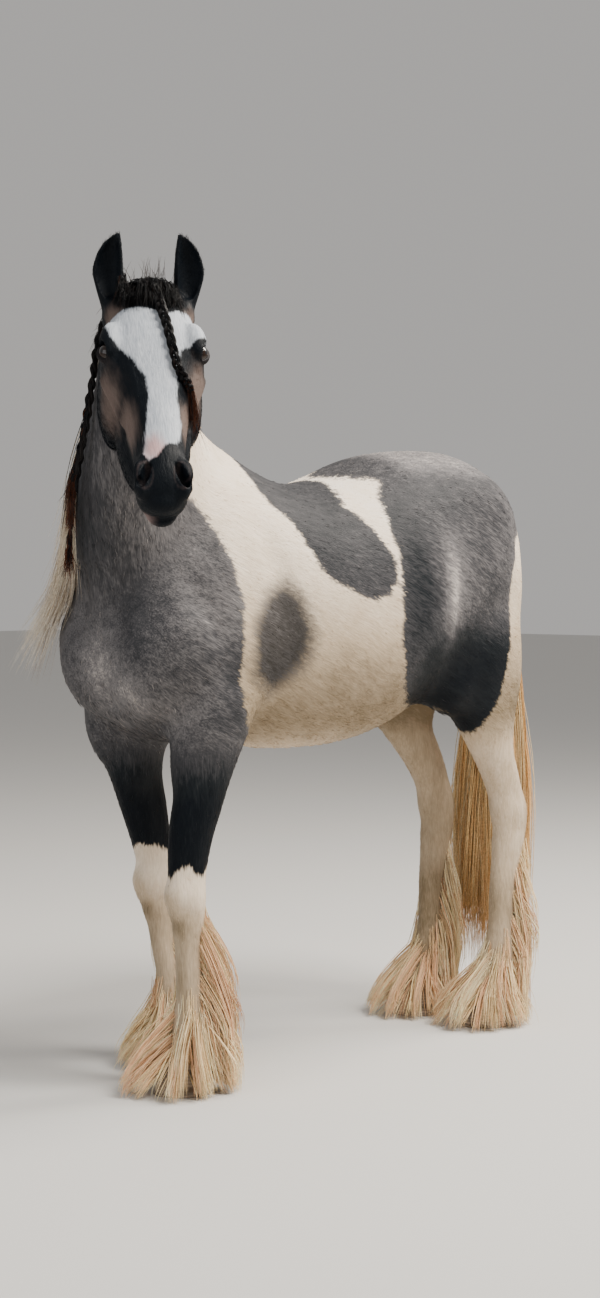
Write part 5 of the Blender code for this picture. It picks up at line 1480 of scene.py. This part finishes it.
def leg_middle(place, z):
    """Middle of a leg at a height, which is the middle of its hoof near the floor."""
    rows = [row for row in leg_stations(place) if row[2] >= 0.085]
    for high, low in zip(rows, rows[1:]):
        if low[2] <= z <= high[2]:
            t = (z - low[2]) / (high[2] - low[2])
            return np.array((low[0] + (high[0] - low[0]) * t, low[1] + (high[1] - low[1]) * t, z))
    return np.array((HOOF_PLACES[place].x, HOOF_PLACES[place].y, z))


TOE_ANGLE = math.radians(250)


def feather(place, seed, back_locks, ring_locks, each):
    """Locks down the back of a leg, all round its fetlock, and a few over its front."""
    rng = np.random.default_rng(seed)
    facts = []
    hind = place.startswith("hind")
    for _ in range(back_locks):
        share = rng.random() ** 0.8
        angle = math.radians(90 + rng.uniform(-88, 88) * (0.50 + 0.50 * share))
        root = (0.50 if hind else 0.455) - (0.33 if hind else 0.29) * share
        long = rng.random() < 0.72
        tip = rng.uniform(0.002, 0.040) if long else max(0.010, root - rng.uniform(0.12, 0.26))
        reach = (0.080 if hind else 0.100) + 0.030 * share
        facts.append((angle, root, tip, reach * rng.uniform(0.72, 1.06), 0.030, rng.uniform(0.60, 0.80)))
    for _ in range(ring_locks):
        angle = 2 * math.pi * rng.random()
        root = rng.uniform(0.080, 0.185)
        toe = max(0.0, math.cos(angle - TOE_ANGLE))
        reach = rng.uniform(0.098, 0.126) + (0.026 if place == "front_right" else 0.040) * toe
        facts.append((angle, root, rng.uniform(0.001, 0.008), reach, 0.034, rng.uniform(0.80, 1.05)))
    for _ in range(ring_locks // 4):
        root = rng.uniform(0.150, 0.240)
        facts.append((
            math.radians(270 + rng.uniform(-100, 100)), root, root - rng.uniform(0.08, 0.12),
            rng.uniform(0.042, 0.060), 0.031, 1.0,
        ))
    guides = []
    for angle, root, tip, reach, start, full in facts:
        turn = rng.uniform(-0.10, 0.10)
        rows = []
        for t in np.linspace(0, 1, 9):
            z = root + (tip - root) * t
            swing = np.array((math.cos(angle + turn * t), math.sin(angle + turn * t), 0.0))
            spread = 1 - (1 - min(1.0, t / full)) ** 1.35
            radius = (start + (reach - start) * spread) * (0.92 + 0.08 * abs(swing[1]))
            rows.append(leg_middle(place, z) + swing * radius)
        guides.append(rows)
    guides = np.array(guides)
    steps = 8
    hairs = bundled(rng, guides, each, np.array((0.0060, 0.0060, 0.0120)), 0.22, 0.0030, steps)
    chance = (0.36, 0.24, 0.14, 0.06, 0.20)
    tones = strand_colours(rng, FEATHER_TONES, len(guides), each, steps, chance, 1.0, 1.05)
    roots = hairs[:, 0]
    middle = HOOF_PLACES[place]
    angle = np.arctan2(roots[:, 1] - middle.y, roots[:, 0] - middle.x) / (2 * math.pi) + 0.5
    spots = np.stack([0.01 + 0.97 * angle, 0.01 + 0.97 * np.clip((roots[:, 2] - 0.08) / 0.40, 0, 1)], 1)
    wide = tapered(len(hairs), steps, 0.0011, rng)
    return grown_hair("feather_" + place, hairs, wide, tones, spots, feather_hair)


feather_hair = hair_finish("feather_hair", 0.45, 0.86)
for place, seed, back_locks, ring_locks, each in (
    ("front_left", 40, 165, 100, 14),
    ("front_right", 41, 115, 90, 13),
    ("hind_left", 42, 140, 90, 14),
    ("hind_right", 43, 150, 80, 14),
):
    tuft = feather(place, seed, back_locks, ring_locks, each)
    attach(tuft, "root")
    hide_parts("lower_leg_" + place)


# The tail: a dock under long straight hair, cream and tan, dark in the shade within, which
# hangs from the rump to below the hocks.
TAIL_X = -0.012
TAIL_Y = 0.828
TAIL_TONES = np.array(((0.96, 0.67, 0.33), (0.84, 0.47, 0.19), (0.99, 0.81, 0.50), (0.34, 0.17, 0.07)))


def tail():
    """Locks rooted down the dock, spread to both sides and behind."""
    rng = np.random.default_rng(31)
    guides = []
    for i in range(78):
        angle = 2 * math.pi * (i * 0.618 % 1.0)
        side, back = math.cos(angle), math.sin(angle)
        layer = rng.uniform(0.35, 1.0)
        root = 1.372 - 0.60 * rng.random() ** 1.4
        tip = rng.uniform(0.03, 0.24) + 0.04 * abs(side)
        spread = rng.uniform(0.090, 0.128) * layer * (1.22 if side < 0 else 1.0)
        rows = []
        for t in np.linspace(0, 1, 14):
            z = root + (tip - root) * t
            wide = 0.018 + (spread - 0.018) * soft(t * 1.5)
            deep = 0.012 + 0.036 * layer * soft(t * 1.8)
            over = min(1.0, max(0.0, z - 1.27) / 0.10)
            x = TAIL_X + side * wide * (1 - 0.6 * over) + 0.008 * math.sin(6 * t + i)
            rows.append((x, TAIL_Y + back * deep - 0.105 * over**1.6, z))
        guides.append(rows)
    steps, each = 11, 36
    hairs = bundled(rng, np.array(guides), each, np.array((0.0095, 0.0070, 0.010)), 0.35, 0.012, steps)
    tones = strand_colours(rng, TAIL_TONES, len(guides), each, steps, (0.42, 0.26, 0.22, 0.10), 0.95, 1.0)
    roots = hairs[:, 0]
    spots = np.stack([(roots[:, 0] - TAIL_X) / 0.12 + 0.5, (roots[:, 2] - 0.70) / 0.72], 1)
    spots = 0.01 + 0.97 * np.clip(spots, 0, 1)
    return grown_hair("tail_hair", hairs, tapered(len(hairs), steps, 0.0013, rng), tones, spots, tail_finish)


def dock():
    """The fleshy dock that the tail's hair grows from, from the rump to a third of the way down."""
    # Each row: height, place back, radius.
    rows = [
        (1.372, 0.690, 0.022), (1.358, 0.760, 0.028), (1.300, 0.806, 0.030),
        (1.180, TAIL_Y, 0.024), (1.02, TAIL_Y, 0.014), (0.98, TAIL_Y, 0.004),
    ]
    across, fore = Vector((1, 0, 0)), Vector((0, 1, 0))
    rings = [section(Vector((TAIL_X, y, z)), across, fore, r, r, r, 20) for z, y, r in refined(rows, 4)]
    return loft("dock", rings)


tail_finish = hair_finish("tail_strands", 0.42, 0.72)
dock_piece = stood(dock())
dock_skin = Finish("dock_skin")
grain = dock_skin.noise(dock_skin.place(), 300.0)
dock_colour = dock_skin.mixed(grain, (0.45, 0.34, 0.24), (0.66, 0.52, 0.38))
dock_piece.data.materials.append(dock_skin.finished({"Base Color": dock_colour, "Roughness": 0.6}))
for piece in (tail(), dock_piece):
    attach(piece, "root")
    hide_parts("tail")


# The mane: long hair rooted along the crest and combed to the right, cream at the withers with
# brown lengths, and black near the head, where it is plaited into three braids.
MANE_TONES = np.array(((0.92, 0.80, 0.62), (0.96, 0.90, 0.80), (0.62, 0.42, 0.24), (0.24, 0.12, 0.06)))
BLACK_TONES = np.array((
    (0.004, 0.004, 0.005), (0.010, 0.007, 0.007), (0.075, 0.024, 0.010), (0.002, 0.002, 0.003),
))
# Each braid: place up the neck, length, half width, swing outwards, swing forwards.
BRAIDS = ((0.86, 0.40, 0.010, 0.0, -0.13), (0.74, 0.42, 0.010, 0.0, -0.09), (0.58, 0.46, 0.009, 0.012, 0.0))


def draped(point, aside, clearance):
    """The point moved aside until it lies that far off the hide, if it would be within it."""
    hit = hide_tree.ray_cast(Vector(point) + aside * 0.6, -aside, 0.9)[0]
    if hit is None:
        return Vector(point)
    off = hit + aside * clearance
    return off if (off - Vector(point)).dot(aside) > 0 else Vector(point)


def falling(share, length, clearance, steps, swing=0.0, outward=0.0):
    """A path from under the crest down the right side of the neck, swung forwards and outwards."""
    middle, left, crest, along, high, _ = neck_section(share)
    top = middle + crest * high
    aside = Vector((-left.x, -left.y, 0.0)).normalized()
    ahead = Vector((along.x, along.y, 0.0)).normalized()
    path = [top - crest * 0.016]
    far = 0.004
    for i in range(steps):
        t = 0.03 + 0.97 * i / (steps - 1)
        point = top + aside * far + Vector((0, 0, -length * t)) + ahead * (swing * t * t)
        point = draped(point, aside, clearance)
        far = (point - top).dot(aside)
        path.append(point + aside * (outward * t**4))
    return path


def mane():
    """Locks over both sides of the crest, long up to the middle of the neck and short above it."""
    rng = np.random.default_rng(12)
    guides, black = [], []
    shares = [0.10 + 0.75 * (i + rng.uniform(-0.5, 0.5)) / 79 for i in range(80)]
    shares += [rng.uniform(0.35, 0.48) for _ in range(26)]
    for i, share in enumerate(shares):
        share = min(max(share, 0.10), 0.85)
        length = 0.50 + rng.uniform(-0.10, 0.08) if i < 80 else rng.uniform(0.58, 0.70)
        low = soft((0.50 - share) / 0.40)
        layer = rng.random()
        flare = rng.uniform(0.0, 0.045) if i < 80 else rng.uniform(0.045, 0.110)
        if share > 0.55:
            length, flare = rng.uniform(0.07, 0.13), 0.0
        clearance = 0.003 + 0.003 * layer + 0.016 * low * layer
        path = falling(share, length, clearance, 10, rng.uniform(-0.02, 0.03), flare)
        left, crest = neck_section(share)[1:3]
        raised = 0.006 if share > 0.55 else 0.010 + 0.012 * layer
        lift = path[1] + crest * raised + left * rng.uniform(-0.004, 0.010)
        rows = [path[0] + left * rng.uniform(-0.008, 0.014), lift, *path[2:]]
        guides.append([tuple(p) for p in rows])
        black.append(i < 80 and share > 0.56 + rng.uniform(-0.04, 0.04))
    steps, each = 10, 30
    guides = np.array(guides)
    black = np.array(black)
    hairs = bundled(rng, guides, each, np.array((0.0070, 0.0070, 0.0080)), 0.35, 0.012, steps)
    cream = strand_colours(rng, MANE_TONES, len(guides), each, steps, (0.44, 0.34, 0.16, 0.06), 1.08, 0.90)
    dark = strand_colours(rng, BLACK_TONES, len(guides), each, steps, (0.46, 0.30, 0.06, 0.18), 1.0, 1.2)
    tones = np.where(np.repeat(black, each)[:, None, None], dark, cream)
    spots = np.stack([
        np.repeat(0.01 + 0.96 * np.linspace(0, 1, len(guides)), each),
        0.02 + 0.95 * rng.random(len(hairs)),
    ], 1)
    return grown_hair("mane_hair", hairs, tapered(len(hairs), steps, 0.0012, rng), tones, spots, mane_finish)


def plaited(path, half_width, pitch, hairs_each, per_turn=8):
    """Three strands of hair woven under and over each other along a path, tight at their end."""
    length = sum((b - a).length for a, b in zip(path, path[1:]))
    turns = length / pitch
    steps = int(turns * per_turn)
    hairs = []
    side = (path[1] - path[0]).orthogonal()
    frames = []
    for i in range(steps + 1):
        share = i / steps
        point, ahead, behind = (Vector(catmull(path, share + step)) for step in (0.0, 0.01, -0.01))
        along = (ahead - behind).normalized()
        side = (side - along * side.dot(along)).normalized()
        frames.append((point, side.copy(), along.cross(side), share))
    for strand in range(3):
        for k in range(hairs_each):
            spin = 2 * math.pi * k * 0.618
            off = half_width * 0.40 * math.sqrt((k + 0.5) / hairs_each)
            rows = []
            for i, (point, across, out, share) in enumerate(frames):
                phase = 2 * math.pi * (i / per_turn / 2 + strand / 3)
                size = 1.0 - 0.25 * share
                x = half_width * 0.62 * math.sin(phase) + off * math.cos(spin + phase * 0.3)
                y = half_width * 0.36 * math.sin(2 * phase) + off * math.sin(spin + phase * 0.3)
                rows.append(point + (across * x + out * y) * size)
            hairs.append([tuple(p) for p in rows])
    return np.array(hairs)


def braid_piece(name, path, half_width, pitch, hairs_each, tuft_length, seed):
    """A plait along a path, and the loose tuft of hair below its end."""
    rng = np.random.default_rng(seed)
    hairs = plaited([Vector(p) for p in path], half_width, pitch, hairs_each)
    count, steps, _ = hairs.shape
    colour = BLACK_TONES[rng.choice(4, count, p=(0.50, 0.30, 0.02, 0.18))] * rng.uniform(0.8, 1.3, (count, 1))
    wide = np.full((count, steps), half_width * 0.085)
    wide[:, -1] = half_width * 0.03
    spots = np.stack([0.01 + 0.96 * np.arange(count) / count, np.full(count, 0.4)], 1)
    plait = grown_hair(name, hairs, wide, np.repeat(colour[:, None], steps, 1), spots, mane_finish)
    end, way = np.array(path[-1]), np.array((Vector(path[-1]) - Vector(path[-2])).normalized())
    down = np.array((0.0, 0.0, -1.0))
    guides = np.array([[
        end - way * 0.02, end, end + (way * 0.3 + down * 0.7) * tuft_length * 0.4 + rng.normal(0, 0.004, 3),
        end + (way * 0.25 + down * 0.80) * tuft_length * rng.uniform(0.6, 1.0) + rng.normal(0, 0.011, 3),
    ] for _ in range(14)])
    loose = bundled(rng, guides, 8, np.array((0.003, 0.003, 0.004)), 0.2, 0.006, 6)
    tones = strand_colours(rng, BLACK_TONES, 14, 8, 6, (0.3, 0.2, 0.4, 0.1), 0.9, 2.2)
    wide, spots = tapered(len(loose), 6, 0.0008, rng), np.full((len(loose), 2), 0.5)
    return plait, grown_hair(name + "_end", loose, wide, tones, spots, mane_finish)


mane_finish = hair_finish("mane_strands", 0.42, 0.72)
mane_pieces = [mane()]
for i, (share, length, thick, outward, swing) in enumerate(BRAIDS):
    path = falling(share, length, 0.009, 8, swing, outward)
    mane_pieces += braid_piece(f"mane_braid_{i + 1}", path, thick, 0.050, 19, 0.085, 60 + i)
for piece in mane_pieces:
    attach(piece, "root")
    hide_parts("neck")


# The forelock: black hair with red-brown ends between the ears, brushed down the forehead and
# gathered into a thin plait that hangs down the face beside the blaze.
PLAIT = [
    (0.020, 0.006, 0.010), (0.057, 0.013, 0.012), (0.099, 0.018, 0.012), (0.149, 0.027, 0.011),
    (0.207, 0.035, 0.011), (0.258, 0.044, 0.011), (0.280, 0.061, 0.011), (0.292, 0.070, 0.011),
]


def on_face(along, aside, lift):
    """The place over the face at these head axes, lifted off the hide."""
    out = (HEAD.to_3x3() @ Vector((0, 0, 1))).normalized()
    start = HEAD @ Vector((along, aside, 0.30))
    hit = hide_tree.ray_cast(start, -out)[0]
    return (hit if hit is not None else HEAD @ Vector((along, aside, -0.03))) + out * lift


def forelock():
    """Locks from between the ears, some gathered to the plait, and stray hairs that stand up."""
    rng = np.random.default_rng(5)
    guides = []
    for _ in range(90):
        root_side = rng.uniform(-0.056, 0.050)
        root_along = rng.uniform(-0.034, 0.020)
        if rng.random() < 0.40:
            end_along = rng.uniform(0.060, 0.085)
            end_side = 0.012 + rng.uniform(-0.006, 0.006)
        else:
            end_along = rng.uniform(0.045, 0.098)
            end_side = root_side * 1.25 + rng.uniform(-0.01, 0.02)
        lift = rng.uniform(0.008, 0.028)
        rows = []
        for t in np.linspace(0, 1, 8):
            arch = math.sin(math.pi * min(1.0, t * 1.1)) * lift * rng.uniform(0.85, 1.15)
            along = root_along + (end_along - root_along) * t
            aside = root_side + (end_side - root_side) * soft(t)
            rows.append(tuple(on_face(along, aside, 0.003 + arch - 0.010 * (t == 0))))
        guides.append(rows)
    steps, each = 8, 20
    hairs = bundled(rng, np.array(guides), each, np.array((0.005, 0.005, 0.004)), 0.3, 0.006, steps)
    tones = strand_colours(rng, BLACK_TONES, len(guides), each, steps, (0.56, 0.24, 0.02, 0.18), 1.0, 1.0)
    stray = []
    for _ in range(46):
        root = on_face(rng.uniform(-0.040, 0.0), rng.uniform(-0.045, 0.045), -0.004)
        tip = root + Vector((rng.normal(0, 0.014), rng.normal(0, 0.014), rng.uniform(0.035, 0.075)))
        bend = Vector((rng.normal(0, 0.006), rng.normal(0, 0.006), 0.0))
        bow = [root.lerp(tip, t) + bend * math.sin(math.pi * t) for t in np.linspace(0, 1, steps)]
        stray.append([tuple(point) for point in bow])
    hairs = np.concatenate([hairs, np.array(stray)])
    tones = np.concatenate([tones, np.full((len(stray), steps, 3), (0.030, 0.014, 0.010))])
    spots = np.stack([0.01 + 0.96 * rng.random(len(hairs)), 0.01 + 0.96 * rng.random(len(hairs))], 1)
    wide = tapered(len(hairs), steps, 0.0009, rng)
    wide[-len(stray):] *= 0.7
    return grown_hair("forelock_hair", hairs, wide, tones, spots, mane_finish)


face_plait = [on_face(*row) for row in PLAIT]
for piece in (forelock(), *braid_piece("face_plait", face_plait, 0.0120, 0.030, 20, 0.115, 70)):
    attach(piece, "root")
    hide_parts("head")


# Studio: a plain pale floor and wall of light, and the camera at the photographed angle.
# The camera is set in metres from the body's middle, moved with it onto the imported frame.
def studio_floor():
    """A wide level floor at the height of the soles."""
    bm = bmesh.new()
    bmesh.ops.create_grid(bm, x_segments=8, y_segments=8, size=30.0)
    return from_bmesh("floor", bm)


floor = studio_floor()
pale = Finish("pale_floor")
floor.data.materials.append(pale.finished({"Base Color": (0.62, 0.61, 0.59, 1.0), "Roughness": 0.9}))

VIEW_TURN = math.radians(42)
VIEW_DISTANCE = 5.9
VIEW_HEIGHT = 1.21
FOCAL_PIXELS = 2370
PHOTO_HEIGHT_PIXELS = 1298
camera_data = bpy.data.cameras.new("camera")
camera_data.sensor_width = 36.0
camera_data.lens = camera_data.sensor_width * FOCAL_PIXELS / PHOTO_HEIGHT_PIXELS
camera_data.clip_end = 200.0
camera = bpy.data.objects.new("camera", camera_data)
aside = Vector((math.cos(VIEW_TURN), math.sin(VIEW_TURN), 0.0))
towards = Vector((math.sin(VIEW_TURN), -math.cos(VIEW_TURN), 0.0))
camera.location = STAND + towards * VIEW_DISTANCE + aside * 0.01
camera.location.z = VIEW_HEIGHT
camera.rotation_euler = (math.radians(88), 0.0, VIEW_TURN)
bpy.context.scene.collection.objects.link(camera)
bpy.context.scene.camera = camera

world = bpy.data.worlds.new("soft_sky")
world.use_nodes = True
sky = world.node_tree.nodes["Background"].inputs
sky["Color"].default_value = (1.0, 0.97, 0.94, 1.0)
sky["Strength"].default_value = 0.46
bpy.context.scene.world = world
for name, turn, far, above, size, power, colour in (
    ("key_light", 100, 3.4, 5.6, 2.4, 560.0, (1.0, 0.95, 0.87)),
    ("fill_light", -5, 5.5, 2.6, 3.5, 75.0, (0.92, 0.96, 1.0)),
    ("back_light", 165, 4.0, 5.2, 2.4, 420.0, (1.0, 0.93, 0.84)),
):
    light = bpy.data.lights.new(name, "AREA")
    light.size = size
    light.energy = power
    light.color = colour
    lamp = bpy.data.objects.new(name, light)
    angle = math.radians(turn)
    lamp.location = Vector((math.sin(angle) * far, -math.cos(angle) * far, above))
    lamp.rotation_euler = (Vector((0, 0, 0.9)) - lamp.location).to_track_quat("-Z", "Y").to_euler()
    bpy.context.scene.collection.objects.link(lamp)
